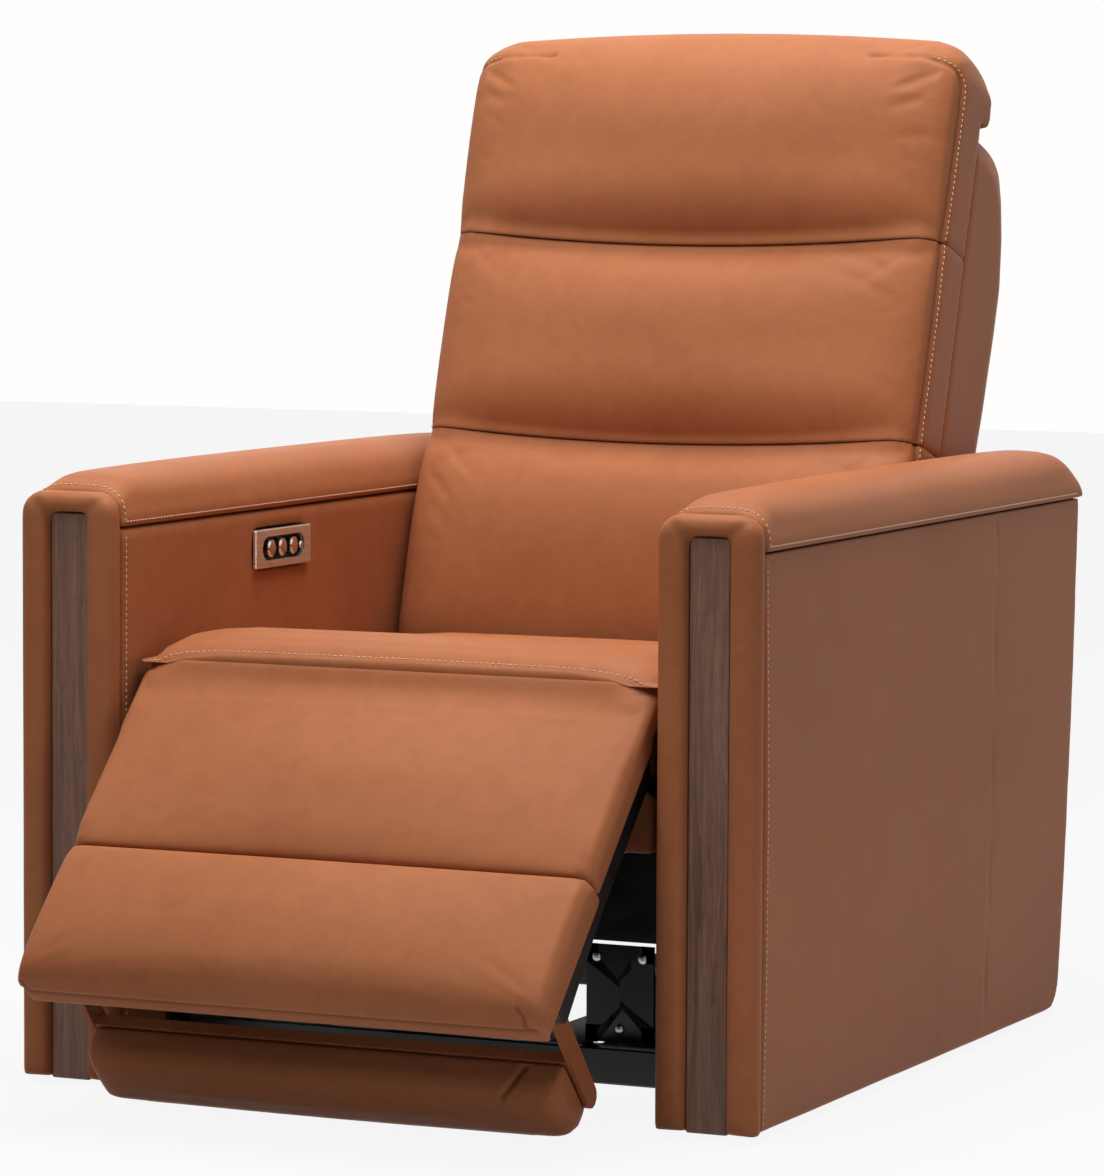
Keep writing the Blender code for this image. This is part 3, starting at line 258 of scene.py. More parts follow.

# %% [markdown]
# Leather
# The cover is smooth full-grain hide, dyed a reddish caramel, with painted shade in its
# folds. Three sizes of detail make it read as hide: broad clouds of tone across a whole
# panel, a mottle the size of a fingertip, and pores about a millimetre apart that only
# show as a break in the shine. The pieces carry an attribute called fold, which is painted later
# in code: near 1 in a seam or crease, as painted shade, and below 0 on a rubbed edge.


# %% Leather
def make_leather(name, tone, shine):
    look, tree, shader, place = new_look(name)
    cloud = noise_field(tree, place, 2.6, 3.0, 0.55, 0.4)
    mottle = noise_field(tree, place, 38.0, 4.0, 0.62, 0.8)
    speck = noise_field(tree, place, 420.0, 2.0, 0.6)
    deep = tuple(c * k for c, k in zip(tone, (0.90, 0.87, 0.84)))
    light = tuple(min(c * k, 1.0) for c, k in zip(tone, (1.05, 1.07, 1.09)))
    colour = ramp(tree, cloud, [(0.28, *deep), (0.5, *tone), (0.74, *light)])
    fine = ramp(tree, mottle, [(0.30, 0.92, 0.90, 0.88), (0.55, 1.0, 1.0, 1.0),
                               (0.8, 1.06, 1.07, 1.08)])
    colour = blend_colours(tree, 'MULTIPLY', 0.85, colour, fine)
    fold = add_node(tree, "Attribute", {}, "Fac", attribute_name="fold")
    # Painted shade: a fold above 0 mixes the colour towards a darker tone, and below 0 it is
    # rubbed lighter.
    crease = remap(tree, fold, 0.0, 1.0, 0.0, 1.0)
    rubbed = remap(tree, fold, 0.0, -1.0, 0.0, 1.0)
    colour = blend_colours(tree, 'MIX', crease, colour, tuple(c * 0.42 for c in tone))
    colour = blend_colours(tree, 'MIX', multiply(tree, rubbed, 0.35), colour,
                           tuple(min(c * 1.35 + 0.02, 1.0) for c in tone))
    gloss = remap(tree, mottle, 0.3, 0.75, shine - 0.05, shine + 0.07)
    shader.inputs["Specular IOR Level"].default_value = 0.06
    pores = remap(tree, cells(tree, place, 760.0), 0.0, 0.22, 0.0, 1.0)
    finish_look(tree, shader, colour, gloss, ((mottle, 0.22, 0.0007), (pores, 0.16, 0.00022),
                                              (speck, 0.10, 0.00018)))
    return look


leather = make_leather("caramel_leather", (0.400, 0.143, 0.062), 0.44)
# A darker copy of the leather, as painted shade on the flap's board, which lies in shadow.
welt_leather = make_leather("welt_leather", (0.360, 0.122, 0.050), 0.42)
print("leather", leather.name, welt_leather.name)


# %% Thread
def make_thread():
    """Waxed tan thread, with a fine noise for the twist of its plies."""
    look, tree, shader, place = new_look("tan_thread")
    ply = noise_field(tree, place, 1500.0, 1.0)
    colour = ramp(tree, ply, [(0.3, 0.62, 0.40, 0.25), (0.6, 0.82, 0.58, 0.39),
                              (0.85, 0.90, 0.70, 0.52)])
    finish_look(tree, shader, colour, 0.62, ((ply, 0.4, 0.0002),))
    return look


thread = make_thread()
print("thread", thread.name)

# %% [markdown]
# Oak
# The strips in the arm fronts are oak, stained a smoky brown and oiled. The grain runs up
# the strip, so the noise is drawn out to long streaks along Z. Open pores are short dark
# dashes, drawn by a finer noise, and a slow swirl bends the streaks here and there, as
# around a small knot.


# %% Oak
def make_oak():
    look, tree, shader, place = new_look("smoked_oak")
    swirl = noise_field(tree, place, (5.0, 5.0, 2.2), 3.0, 0.55, 1.2)
    bent = add_node(tree, "VectorMath", {0: swirl, 1: (0.030, 0.030, 0.0), 2: place},
                    operation='MULTIPLY_ADD')
    streaks = noise_field(tree, bent, (150.0, 150.0, 4.2), 5.0, 0.62)
    lines = noise_field(tree, bent, (420.0, 420.0, 9.0))
    dashes = noise_field(tree, place, (1500.0, 1500.0, 60.0), 1.0)
    colour = ramp(tree, streaks, [(0.22, 0.074, 0.034, 0.021), (0.45, 0.175, 0.080, 0.049),
                                  (0.60, 0.225, 0.110, 0.070), (0.85, 0.300, 0.160, 0.106)])
    ring = ramp(tree, lines, [(0.35, 0.55, 0.50, 0.47), (0.56, 1.0, 1.0, 1.0)])
    colour = blend_colours(tree, 'MULTIPLY', 0.7, colour, ring)
    pore = ramp(tree, dashes, [(0.60, 1.0, 1.0, 1.0), (0.72, 0.32, 0.28, 0.26)])
    colour = blend_colours(tree, 'MULTIPLY', 0.8, colour, pore)
    shine = remap(tree, streaks, 0.3, 0.8, 0.46, 0.62)
    sunk = remap(tree, dashes, 0.58, 0.72, 1.0, 0.0)
    finish_look(tree, shader, colour, shine, ((streaks, 0.25, 0.0004), (sunk, 0.35, 0.0003)))
    return look


oak = make_oak()
print("oak", oak.name)

# %% [markdown]
# Metal, moulded plastic and plywood
# The switch plate is bronze brushed along its length, so its noise is drawn out along Y.
# The buttons are polished chrome. Steel under the seat is powder coated: black, with a very
# fine orange peel and a little dust on what faces up. The boards and frames inside are
# birch plywood, whose plies show as bands on their edges.


# %% Bronze and chrome
def make_bronze():
    look, tree, shader, place = new_look("brushed_bronze")
    brush = noise_field(tree, place, (900.0, 14.0, 1400.0), 3.0, 0.6)
    wear = noise_field(tree, place, 60.0, 3.0, 0.6)
    colour = ramp(tree, brush, [(0.30, 0.56, 0.47, 0.38), (0.55, 0.74, 0.65, 0.55),
                                (0.80, 0.86, 0.79, 0.70)])
    finish_look(tree, shader, colour, remap(tree, wear, 0.3, 0.7, 0.26, 0.38),
                ((brush, 0.18, 0.0002),), 0.75)
    return look


def make_chrome():
    look, tree, shader, place = new_look("polished_chrome")
    film = noise_field(tree, place, 240.0, 3.0, 0.6)
    colour = ramp(tree, film, [(0.3, 0.62, 0.60, 0.58), (0.7, 0.80, 0.79, 0.78)])
    finish_look(tree, shader, colour, remap(tree, film, 0.3, 0.7, 0.10, 0.20),
                ((film, 0.03, 0.0001),), 1.0)
    return look


bronze, chrome = make_bronze(), make_chrome()
print("metals", bronze.name, chrome.name)


# %% Black steel, zinc, dark plastic and plywood
def facing_up(tree):
    """How much the surface faces the ceiling, from 0 to 1."""
    face = add_node(tree, "NewGeometry", {}, "Normal")
    return remap(tree, add_node(tree, "SeparateXYZ", {0: face}, "Z"), 0.45, 1.0, 0.0, 1.0)


def make_coated(name, tone, dust, rough, peel, metal=0.0):
    """A moulded or coated surface with a fine skin and some dust on top."""
    look, tree, shader, place = new_look(name)
    skin = noise_field(tree, place, peel, 2.0, 0.6)
    patch = noise_field(tree, place, 22.0, 4.0, 0.65)
    dusty = remap(tree, patch, 0.35, 0.7, 0.0, dust)
    dusted = multiply(tree, facing_up(tree), dusty)
    base = ramp(tree, patch, [(0.3, *(c * 0.72 for c in tone)), (0.7, *(c * 1.2 for c in tone))])
    colour = blend_colours(tree, 'MIX', dusted, base, (0.21, 0.19, 0.17))
    finish_look(tree, shader, colour, remap(tree, patch, 0.3, 0.7, rough - 0.06, rough + 0.08),
                ((skin, 0.22, 0.00015),), metal)
    return look


def make_plywood():
    look, tree, shader, place = new_look("birch_plywood")
    plies = add_node(tree, "TexWave", {"Vector": place, "Scale": 95.0, "Distortion": 0.6}, "Fac",
                     bands_direction='DIAGONAL')
    grain = noise_field(tree, place, (60.0, 260.0, 7.0), 4.0, 0.6)
    colour = ramp(tree, grain, [(0.25, 0.30, 0.185, 0.095), (0.55, 0.46, 0.31, 0.18),
                                (0.85, 0.56, 0.41, 0.26)])
    band = ramp(tree, plies, [(0.2, 0.80, 0.76, 0.72), (0.6, 1.0, 1.0, 1.0)])
    finish_look(tree, shader, blend_colours(tree, 'MULTIPLY', 0.6, colour, band), 0.66,
                ((grain, 0.25, 0.0003),))
    return look


steel = make_coated("black_coated_steel", (0.020, 0.020, 0.021), 0.35, 0.40, 900.0, 0.35)
zinc = make_coated("zinc_plate", (0.52, 0.53, 0.54), 0.15, 0.30, 300.0, 1.0)
plastic = make_coated("dark_plastic", (0.032, 0.033, 0.035), 0.30, 0.48, 1400.0)
plywood = make_plywood()
print("coatings", steel.name, plastic.name, plywood.name)

# %% [markdown]
# Finishes on the measured solids
# The rigid solids keep their shape and only change their material, slot by slot. The soft
# ones are dressed further down, and until then they wear the same leather.

# %% Give every solid its finish
plain = {"leather": leather, "oak": oak, "wood": plywood, "black_steel": steel,
         "dark_plastic": plastic, "bronze": bronze, "chrome": chrome}
slots = {row["node"]: row["material_slot"] for row in frame["record"]["subparts"]}
for name, solid in nodes.items():
    for slot in solid.material_slots:
        slot.material = plain[slots[name]]
print("finishes on", len(nodes), "solids")

# %% [markdown]
# Padded leather
# A cushion is a leather bag over foam. The bag is cut flat and sewn along its edges, so
# the seams are drawn tight and the middle swells. Here each bag starts as a copy of its
# solid, slightly smaller. It is remeshed into even little squares, its sewn edges and the
# side that rests on the frame are pinned, and then a cloth simulation blows it up. A
# modeller could sculpt the same swell by hand, but the simulation finds the puckers by
# itself. What a point may move is capped, so that a cushion stays clear of its neighbours.


# %% Copy a solid into an even mesh
def shaped(piece, kind, **settings):
    """Add one modifier to a piece, with its settings, and apply it."""
    bpy.context.view_layer.objects.active = piece
    change = piece.modifiers.new(kind.lower(), kind)
    for name, value in settings.items():
        setattr(change, name, value)
    bpy.ops.object.modifier_apply(modifier=change.name)


def put_in(name, mesh):
    """An object for a mesh, in the scene."""
    piece = bpy.data.objects.new(name, mesh)
    bpy.context.scene.collection.objects.link(piece)
    return piece


def skin_of(node, name, voxel, ease=3, extra=()):
    """A copy of a solid, joined with extra meshes, as one evenly remeshed skin."""
    bm = bmesh.new()
    for source in (nodes[node].data, *extra):
        bm.from_mesh(source)
    bmesh.ops.remove_doubles(bm, verts=bm.verts, dist=0.00005)
    mesh = bpy.data.meshes.new(name)
    bm.to_mesh(mesh)
    bm.free()
    skin = put_in(name, mesh)
    bpy.ops.object.select_all(action='DESELECT')
    skin.select_set(True)
    shaped(skin, 'REMESH', mode='VOXEL', voxel_size=voxel)
    shaped(skin, 'SMOOTH', factor=0.5, iterations=ease)
    return skin


def points(piece, source="vertices", field="co"):
    """The places of all the points of a mesh, or another three numbers of each."""
    place = np.zeros(len(piece.data.vertices) * 3)
    getattr(piece.data, source).foreach_get(field, place)
    return place.reshape(-1, 3)


def normals(piece):
    return points(piece, "vertex_normals", "vector")


def set_points(piece, place):
    piece.data.vertices.foreach_set("co", place.ravel())
    piece.data.update()


print("skins are even meshes of", 4, "to", 6, "mm squares")


# %% Blow up a skin as cloth
cloth_inset, cloth_pressure, cloth_frames = 0.003, 4.0, 20


def swell(skin, pinned, cap):
    """Inflate a skin with Blender's cloth; pinned is a 0 to 1 weight for each point."""
    start = points(skin) - normals(skin) * (cloth_inset * (1.0 - pinned))[:, None]
    set_points(skin, start)
    group = skin.vertex_groups.new(name="sewn")
    for step in range(11):
        chosen = np.nonzero(np.rint(pinned * 10).astype(int) == step)[0]
        if len(chosen) and step:
            group.add(chosen.tolist(), step / 10, 'REPLACE')
    cloth = skin.modifiers.new("leather", 'CLOTH')
    rules = cloth.settings
    rules.quality = 5
    rules.mass = 0.25
    rules.tension_stiffness = 18.0
    rules.compression_stiffness = 18.0
    rules.shear_stiffness = 8.0
    rules.bending_stiffness = 2.0
    rules.use_pressure = True
    rules.uniform_pressure_force = cloth_pressure
    rules.vertex_group_mass = group.name
    rules.pin_stiffness = 1.0
    rules.effector_weights.gravity = 0.0
    scene = bpy.context.scene
    for frame_number in range(1, cloth_frames + 1):
        scene.frame_set(frame_number)
    bpy.context.view_layer.objects.active = skin
    bpy.ops.object.modifier_apply(modifier=cloth.name)
    scene.frame_set(1)
    move = points(skin) - start
    size = np.linalg.norm(move, axis=1, keepdims=True)
    most = float(size.max())
    move *= np.tanh(size / cap) * cap / np.maximum(size, 1e-9)
    set_points(skin, start + move * (1.0 - pinned[:, None]))
    return most


def puff(piece, sewn, cap):
    print(piece.name, "cloth moved", round(swell(piece, sewn, cap), 4))


print("cloth runs", cloth_frames, "frames a piece")

# %% [markdown]
# Seams and stitches
# A seam is where two pieces of hide are sewn and turned. It shows as a narrow valley, with
# painted shade at its bottom, and a line of thread beside it where the seam is topstitched. The
# valley is pressed into the mesh here, after the simulation, because a remesh would erase it.
# A displacement texture could draw it too, but pressing points along a line puts it exactly
# where the line runs, and the same line then carries the stitches.


# %% Lines on a surface
def even_line(line, step):
    """The same line with points at equal steps."""
    line = np.asarray(line, float)
    legs = np.linalg.norm(np.diff(line, axis=0), axis=1)
    run = np.concatenate(([0.0], np.cumsum(legs)))
    count = max(int(round(run[-1] / step)), 2)
    where = np.linspace(0.0, run[-1], count + 1)
    return np.stack([np.interp(where, run, line[:, i]) for i in range(3)], axis=1)


def curve_line(line, step=0.004):
    """A smooth curve through a few points, at equal steps."""
    line = np.asarray(line, float)
    ends = np.vstack((2 * line[0] - line[1], line, 2 * line[-1] - line[-2]))
    run = []
    for a, b, c, d in zip(ends, ends[1:], ends[2:], ends[3:]):
        for t in np.linspace(0.0, 1.0, 12, endpoint=False):
            bend = 2 * b + (c - a) * t + (2 * a - 5 * b + 4 * c - d) * t * t
            run.append((bend + (3 * b - a - 3 * c + d) * t ** 3) / 2)
    run.append(line[-1])
    return even_line(run, step)


def surface_of(piece):
    return BVHTree.FromPolygons([v.co for v in piece.data.vertices],
                                [tuple(f.vertices) for f in piece.data.polygons])


def onto(surface, line, heading, reach=0.0):
    """Lay a line on a surface along a heading, from a little way back on it."""
    laid, facing = [], []
    way = Vector(heading).normalized()
    for place in line:
        hit, normal, face, far = surface.ray_cast(Vector(place) - way * reach, way)
        if hit is not None:
            laid.append(hit)
            facing.append(normal)
    return np.array(laid), np.array(facing)


print("lines are laid at", 4, "mm steps")


# %% Press a seam and paint shade in its fold
def repaint(piece, dark, light=0.0):
    """Raise a piece's painted shade, the fold attribute, to at least dark, and subtract light from
    it, which lightens the hide.
    """
    layer = piece.data.attributes.get("fold")
    if layer is None:
        layer = piece.data.attributes.new("fold", 'FLOAT', 'POINT')
    paint = np.zeros(len(piece.data.vertices))
    layer.data.foreach_get("value", paint)
    layer.data.foreach_set("value", np.clip(np.maximum(paint, dark) - light, -1.0, 1.0))


def distance_to(place, line, reach):
    """Each point's distance to a line, and reach where it is further."""
    apart = np.full(len(place), reach)
    near = np.nonzero(np.all((place > line.min(0) - reach) & (place < line.max(0) + reach),
                             axis=1))[0]
    for start in range(0, len(line), 64):
        chunk = line[start:start + 64]
        for block in np.array_split(near, max(1, len(near) // 20000)):
            gap = np.linalg.norm(place[block, None, :] - chunk[None, :, :], axis=2).min(1)
            apart[block] = np.minimum(apart[block], gap)
    return apart


def press_seam(piece, line, width, depth, shade=0.8, core=0.0025):
    """Sink a valley along a line, with painted shade at the bottom, rubbed lighter on its
    shoulders.
    """
    line = even_line(line, 0.0015)
    place, facing = points(piece), normals(piece)
    apart = distance_to(place, line, width * 1.8)
    share = np.clip(1.0 - (apart / width) ** 2, 0.0, 1.0) ** 2
    set_points(piece, place - facing * (share * depth)[:, None])
    shoulder = np.exp(-((apart - width * 0.8) / (width * 0.35)) ** 2) * 0.25
    repaint(piece, shade * np.exp(-(apart / core) ** 2), shoulder)


def crease(piece, line, width, depth, shade=0.35):
    """A soft wrinkle: a shallow valley whose ends fade out, with painted shade in it."""
    line = even_line(line, 0.003)
    place, facing = points(piece), normals(piece)
    grow = np.sin(np.linspace(0.0, math.pi, len(line))) ** 0.7
    best = np.zeros(len(place))
    for point, share in zip(line, grow):
        apart = np.linalg.norm(place - point, axis=1)
        best = np.maximum(best, share * np.exp(-(apart / width) ** 2))
    set_points(piece, place - facing * (best * depth)[:, None])
    repaint(piece, best * shade)


print("seams sink and darken")


# %% One stitch, copied along a line
bpy.ops.mesh.primitive_uv_sphere_add(segments=6, ring_count=5, radius=1.0)
one_stitch = bpy.context.object
stitch_points = points(one_stitch)
stitch_faces = [tuple(f.vertices) for f in one_stitch.data.polygons]
bpy.data.objects.remove(one_stitch)
stitch_pitch, stitch_length, stitch_thick = 0.0066, 0.0048, 0.0014


def stitch_row(name, body, laid, facing):
    """Stitches along a laid line, each a grain of thread."""
    run = np.concatenate(([0.0], np.cumsum(np.linalg.norm(np.diff(laid, axis=0), axis=1))))
    where = np.arange(stitch_pitch / 2, run[-1], stitch_pitch)
    line = np.stack([np.interp(where, run, laid[:, i]) for i in range(3)], axis=1)
    out = np.stack([np.interp(where, run, facing[:, i]) for i in range(3)], axis=1)
    out /= np.linalg.norm(out, axis=1, keepdims=True)
    ahead = np.gradient(line, axis=0)
    ahead -= out * np.sum(ahead * out, axis=1, keepdims=True)
    ahead /= np.linalg.norm(ahead, axis=1, keepdims=True)
    across = np.cross(out, ahead)
    grain = stitch_points * (stitch_length / 2, stitch_thick / 2, stitch_thick / 2)
    corners, faces = [], []
    for centre, n, t, b in zip(line, out, ahead, across):
        base = len(corners)
        corners += (centre + n * stitch_thick * 0.25 + grain[:, :1] * (t + b * 0.07)
                    + grain[:, 1:2] * b + grain[:, 2:3] * n).tolist()
        faces += [tuple(base + i for i in face) for face in stitch_faces]
    mesh = bpy.data.meshes.new(name)
    mesh.from_pydata(corners, [], faces)
    mesh.shade_smooth()
    mesh.materials.append(thread)
    row = put_in(name, mesh)
    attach(row, body)
    print(name, len(where), "stitches")


def finish_leather(piece, body, cad):
    """Smooth shading, leather, a body to ride on and the solid it stands for."""
    piece.data.materials.clear()
    piece.data.materials.append(leather)
    piece.data.shade_smooth()
    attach(piece, body)
    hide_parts(cad)
    print(piece.name, len(piece.data.polygons), "faces")


def refine(piece):
    """One subdivision, once all the coarse shaping is done."""
    shaped(piece, 'SUBSURF', levels=1, render_levels=1)


print("finishing helpers ready")

# %% [markdown]
# The back
# Three leather sections lean back by 18 degrees: the lumbar, the middle and the head. They
# are sewn to each other with plain seams that sag a little in the middle, because the hide
# is drawn down by the foam. It is easiest to think in the back's own directions, along it
# and behind its face, so two small functions turn them into places and back again.

# %% The back's own directions
lean_sin, lean_cos = math.sin(math.radians(18.0)), math.cos(math.radians(18.0))
back_foot = (0.2216, 0.4310)
lumbar_low, lumbar_high, middle_high, head_high = -0.026, 0.2452, 0.4785, 0.7180


def on_back(x, along, behind):
    return (x, back_foot[0] + along * lean_sin + behind * lean_cos,
            back_foot[1] + along * lean_cos - behind * lean_sin)


def from_back(place):
    y, z = place[:, 1] - back_foot[0], place[:, 2] - back_foot[1]
    return y * lean_sin + z * lean_cos, y * lean_cos - z * lean_sin


def ramp_up(value, low, high):
    """0 below low, 1 above high, and smooth between."""
    share = np.clip((value - low) / (high - low), 0.0, 1.0)
    return share * share * (3.0 - 2.0 * share)


def sag_seams(piece):
    """Let the two cross seams hang about 16 mm lower at the middle than at the sides."""
    place = points(piece)
    along, behind = from_back(place)
    down = np.zeros(len(place))
    for seam, drop in ((lumbar_high, 0.015), (middle_high, 0.016)):
        near = np.exp(-((along - seam) / 0.050) ** 2)
        down += drop * near * (1.0 - (place[:, 0] / 0.302) ** 2)
    down *= 1.0 - ramp_up(behind, 0.030, 0.080)
    place[:, 1] -= down * lean_sin
    place[:, 2] -= down * lean_cos
    set_points(piece, place)


print("back leans", 18, "degrees")


# %% Blocks that are melted into a skin
def block(rings):
    """A closed mesh through outlines with the same number of points."""
    bm = bmesh.new()
    rings = [[bm.verts.new(p) for p in ring] for ring in rings]
    bm.faces.new(rings[0])
    bm.faces.new(rings[-1][::-1])
    for near, far in zip(rings, rings[1:]):
        for i in range(len(near)):
            j = (i + 1) % len(near)
            bm.faces.new((near[j], near[i], far[i], far[j]))
    bmesh.ops.recalc_face_normals(bm, faces=bm.faces)
    mesh = bpy.data.meshes.new("block")
    bm.to_mesh(mesh)
    bm.free()
    return mesh


def end_block(low, high):
    """Foam that fills a section right up to its seam, so that the seam is shallow."""
    half = [(0.2985, 0.104), (0.2985, 0.044), (0.2930, 0.031), (0.2800, 0.020), (0.2600, 0.015)]
    outline = half + [(-x, b) for x, b in half[::-1]]
    return block([[on_back(x, a, b) for x, b in outline] for a in (low, high)])


print("end blocks fill the seams")


# %% [markdown]
# Seams cut flat
# The sections are remeshed a few millimetres too long and then cut flat at their seams,
# which keeps the seam crisp: two swelling shapes that meet on one thin line.

# %% The three sections
ledge_foot, cut_gap, overrun, fill_depth = 0.6416, 0.0002, 0.006, 0.034


def back_section(node, name, low, high, cap, over=0.0):
    top_open = high > 0.7
    extra = []
    if low > 0.0:
        extra.append(end_block(low - overrun, low + fill_depth))
    if not top_open:
        extra.append(end_block(high - fill_depth, high + overrun))
    else:
        ledge = [(0.634, 0.106), (0.634, 0.1345), (0.665, 0.1345), (0.665, 0.106)]
        extra.append(block([[on_back(x, a, b) for a, b in ledge] for x in (-0.292, 0.292)]))
    piece = skin_of(node, name, 0.006, 3, extra)
    place = points(piece)
    along, behind = from_back(place)
    ends = along - low if top_open else np.minimum(along - low, high - along)
    sewn = np.maximum.reduce([1.0 - ramp_up(ends, 0.002, 0.024), ramp_up(behind, 0.030, 0.060),
                              ramp_up(np.abs(place[:, 0]), 0.276, 0.296)])
    puff(piece, sewn, cap)
    if over:
        place, facing = points(piece), normals(piece)
        along, behind = from_back(place)
        roll = np.exp(-((along - low - 0.042) / 0.036) ** 2) * (1.0 - ramp_up(behind, 0.02, 0.05))
        roll *= 1.0 - ramp_up(np.abs(place[:, 0]), 0.20, 0.29)
        set_points(piece, place + facing * (roll * over)[:, None])
    refine(piece)
    place = points(piece)
    along, behind = from_back(place)
    kept = np.clip(along, low + cut_gap if low > 0.0 else -1.0,
                   1.0 if top_open else high - cut_gap)
    if top_open:
        shelf = (behind > 0.1102) & (kept < ledge_foot) & (kept > ledge_foot - 0.0166)
        kept = np.where(shelf, ledge_foot, kept)
    place[:, 1] += (kept - along) * lean_sin
    place[:, 2] += (kept - along) * lean_cos
    set_points(piece, place)
    edge = np.abs(kept - low) if low > 0.0 else np.full(len(kept), 1.0)
    if not top_open:
        edge = np.minimum(edge, np.abs(high - kept))
    # Painted shade along the flat-cut seams between the sections, fading out behind the face.
    repaint(piece, 0.85 * np.exp(-(edge / 0.0026) ** 2) * (1.0 - ramp_up(behind, 0.045, 0.060)))
    sag_seams(piece)
    return piece


lumbar = back_section("lumbar_cushion", "lumbar_leather", lumbar_low, lumbar_high, 0.012)
middle_part = back_section("middle_cushion", "middle_leather", lumbar_high, middle_high, 0.014,
                           0.006)
head = back_section("head_cushion", "head_leather", middle_high, head_high, 0.014, 0.007)
print("back sections", lumbar.name, middle_part.name, head.name)

# %% [markdown]
# Seams down the sides
# Down each side of the back runs the seam between the face and the side band. It is
# topstitched on the band, 6.5 mm behind the seam, so the thread lies on the side. Near
# the top both curve forward over the shoulder. Small wrinkles gather there, where flat hide
# has to turn two ways at once.

# %% Side seams, stitches and wrinkles of the back
side_seam, thread_aside = 0.0400, 0.0065
for side, word in sides:
    for piece, body, low, high in ((lumbar, "back", -0.010, lumbar_high),
                                   (middle_part, "back", lumbar_high, middle_high),
                                   (head, "headrest", middle_high, 0.690)):
        steps = np.arange(low + 0.002, high - 0.001, 0.004)
        bend = [0.030 * max(0.0, (a - 0.655) / 0.035) ** 2 for a in steps]
        for behind in (side_seam, side_seam + thread_aside):
            line = [on_back(side * 0.36, a, behind - c) for a, c in zip(steps, bend)]
            laid, facing = onto(surface_of(piece), line, (-side, 0, 0))
            if behind == side_seam:
                press_seam(piece, laid, 0.0070, 0.0022, 0.75)
        stitch_row("back_stitches_%s_%s" % (piece.name.split("_")[0], word), body, laid, facing)
head_runs = (((0.215, 0.655), (0.285, 0.672)), ((0.205, 0.640), (0.288, 0.650)),
             ((0.220, 0.622), (0.290, 0.630)), ((0.235, 0.585), (0.290, 0.592)),
             ((-0.225, 0.660), (-0.285, 0.668)), ((-0.235, 0.630), (-0.29, 0.634)))
middle_runs = (((0.170, 0.462), (0.268, 0.424)), ((0.160, 0.440), (0.280, 0.392)),
               ((-0.20, 0.455), (-0.275, 0.425)))
lumbar_runs = (((0.19, 0.215), (0.28, 0.180)), ((-0.22, 0.215), (-0.28, 0.185)))
for piece, runs in ((head, head_runs), (middle_part, middle_runs), (lumbar, lumbar_runs)):
    surface = surface_of(piece)
    for (x0, a0), (x1, a1) in runs:
        mid = ((x0 + x1) / 2, (a0 + a1) / 2 + 0.006)
        line = curve_line([on_back(x, a, -0.10) for x, a in ((x0, a0), mid, (x1, a1))], 0.006)
        laid, facing = onto(surface, line, (0, lean_cos, -lean_sin))
        crease(piece, laid, 0.0080, 0.0008, 0.05)
finish_leather(lumbar, "back", "lumbar_cushion")
finish_leather(middle_part, "back", "middle_cushion")
finish_leather(head, "headrest", "head_cushion")

# %% [markdown]
# The seat
# The seat is one crowned cushion. Its hide runs over the foam and is sewn to a lip at the
# front edge, where the footrest starts. The top is free to swell in the simulation, and
# the sides, the underside and the front seam are held.

# %% Seat cushion
seat_front, seat_seam = -0.3694, 0.4437
seat = skin_of("seat_cushion", "seat_leather", 0.006, 4)
place = points(seat)
sewn = np.maximum.reduce([1.0 - ramp_up(place[:, 2], 0.440, 0.465),
                          ramp_up(np.abs(place[:, 0]), 0.262, 0.288),
                          1.0 - ramp_up(place[:, 1], seat_front + 0.008, seat_front + 0.040),
                          ramp_up(place[:, 1], 0.160, 0.188)])
puff(seat, sewn, 0.012)
refine(seat)

# %% The seat's crown
# The seat slopes down towards the back, so only its front roll shows from the front. The
# height that each place should have is set against the height that it has, read from a
# grid of straight lines down onto the skin.
crown = [(-0.3694, 0.4500), (-0.3634, 0.4570), (-0.3500, 0.4665), (-0.3300, 0.4740),
         (-0.3050, 0.4780), (-0.2750, 0.4775), (-0.2000, 0.4700), (-0.1000, 0.4580),
         (0.0000, 0.4470), (0.1000, 0.4390), (0.2000, 0.4330)]
edge_drop = [(0.0, 0.0), (0.200, 0.001), (0.240, 0.004), (0.262, 0.0085), (0.280, 0.017),
             (0.292, 0.027), (0.300, 0.038)]
place = points(seat)
surface = surface_of(seat)
count = 61
grid_x = np.linspace(-0.297, 0.297, count)
grid_y = np.linspace(seat_front + 0.001, place[:, 1].max() - 0.001, count)
tops = np.empty((count, count))
for i, x in enumerate(grid_x):
    for j, y in enumerate(grid_y):
        hit = surface.ray_cast((x, y, 0.6), (0, 0, -1))[0]
        tops[i, j] = hit.z if hit else seat_seam + 0.004
u = np.clip(np.interp(place[:, 0], grid_x, np.arange(count)), 0, count - 1.001)
v = np.clip(np.interp(place[:, 1], grid_y, np.arange(count)), 0, count - 1.001)
i, j = u.astype(int), v.astype(int)
u, v = u - i, v - j
top_now = ((tops[i, j] * (1 - u) + tops[i + 1, j] * u) * (1 - v)
           + (tops[i, j + 1] * (1 - u) + tops[i + 1, j + 1] * u) * v)
base = np.interp(place[:, 1], (-0.310, -0.220), (seat_seam, 0.4150))
wanted = (np.interp(place[:, 1], *zip(*crown))
          - np.interp(np.abs(place[:, 0]), *zip(*edge_drop)))
share = np.clip((wanted - base) / np.maximum(top_now - base, 0.002), 0.12, 1.1)
place[:, 2] -= np.maximum(place[:, 2] - base, 0.0) * (1.0 - share)
corner = 0.026
inner_x, inner_y = np.abs(place[:, 0]).max() - corner, seat_front + corner
out_x, out_y = np.abs(place[:, 0]) - inner_x, inner_y - place[:, 1]
reach = np.hypot(out_x, out_y)
tight = (out_x > 0) & (out_y > 0) & (reach > corner)
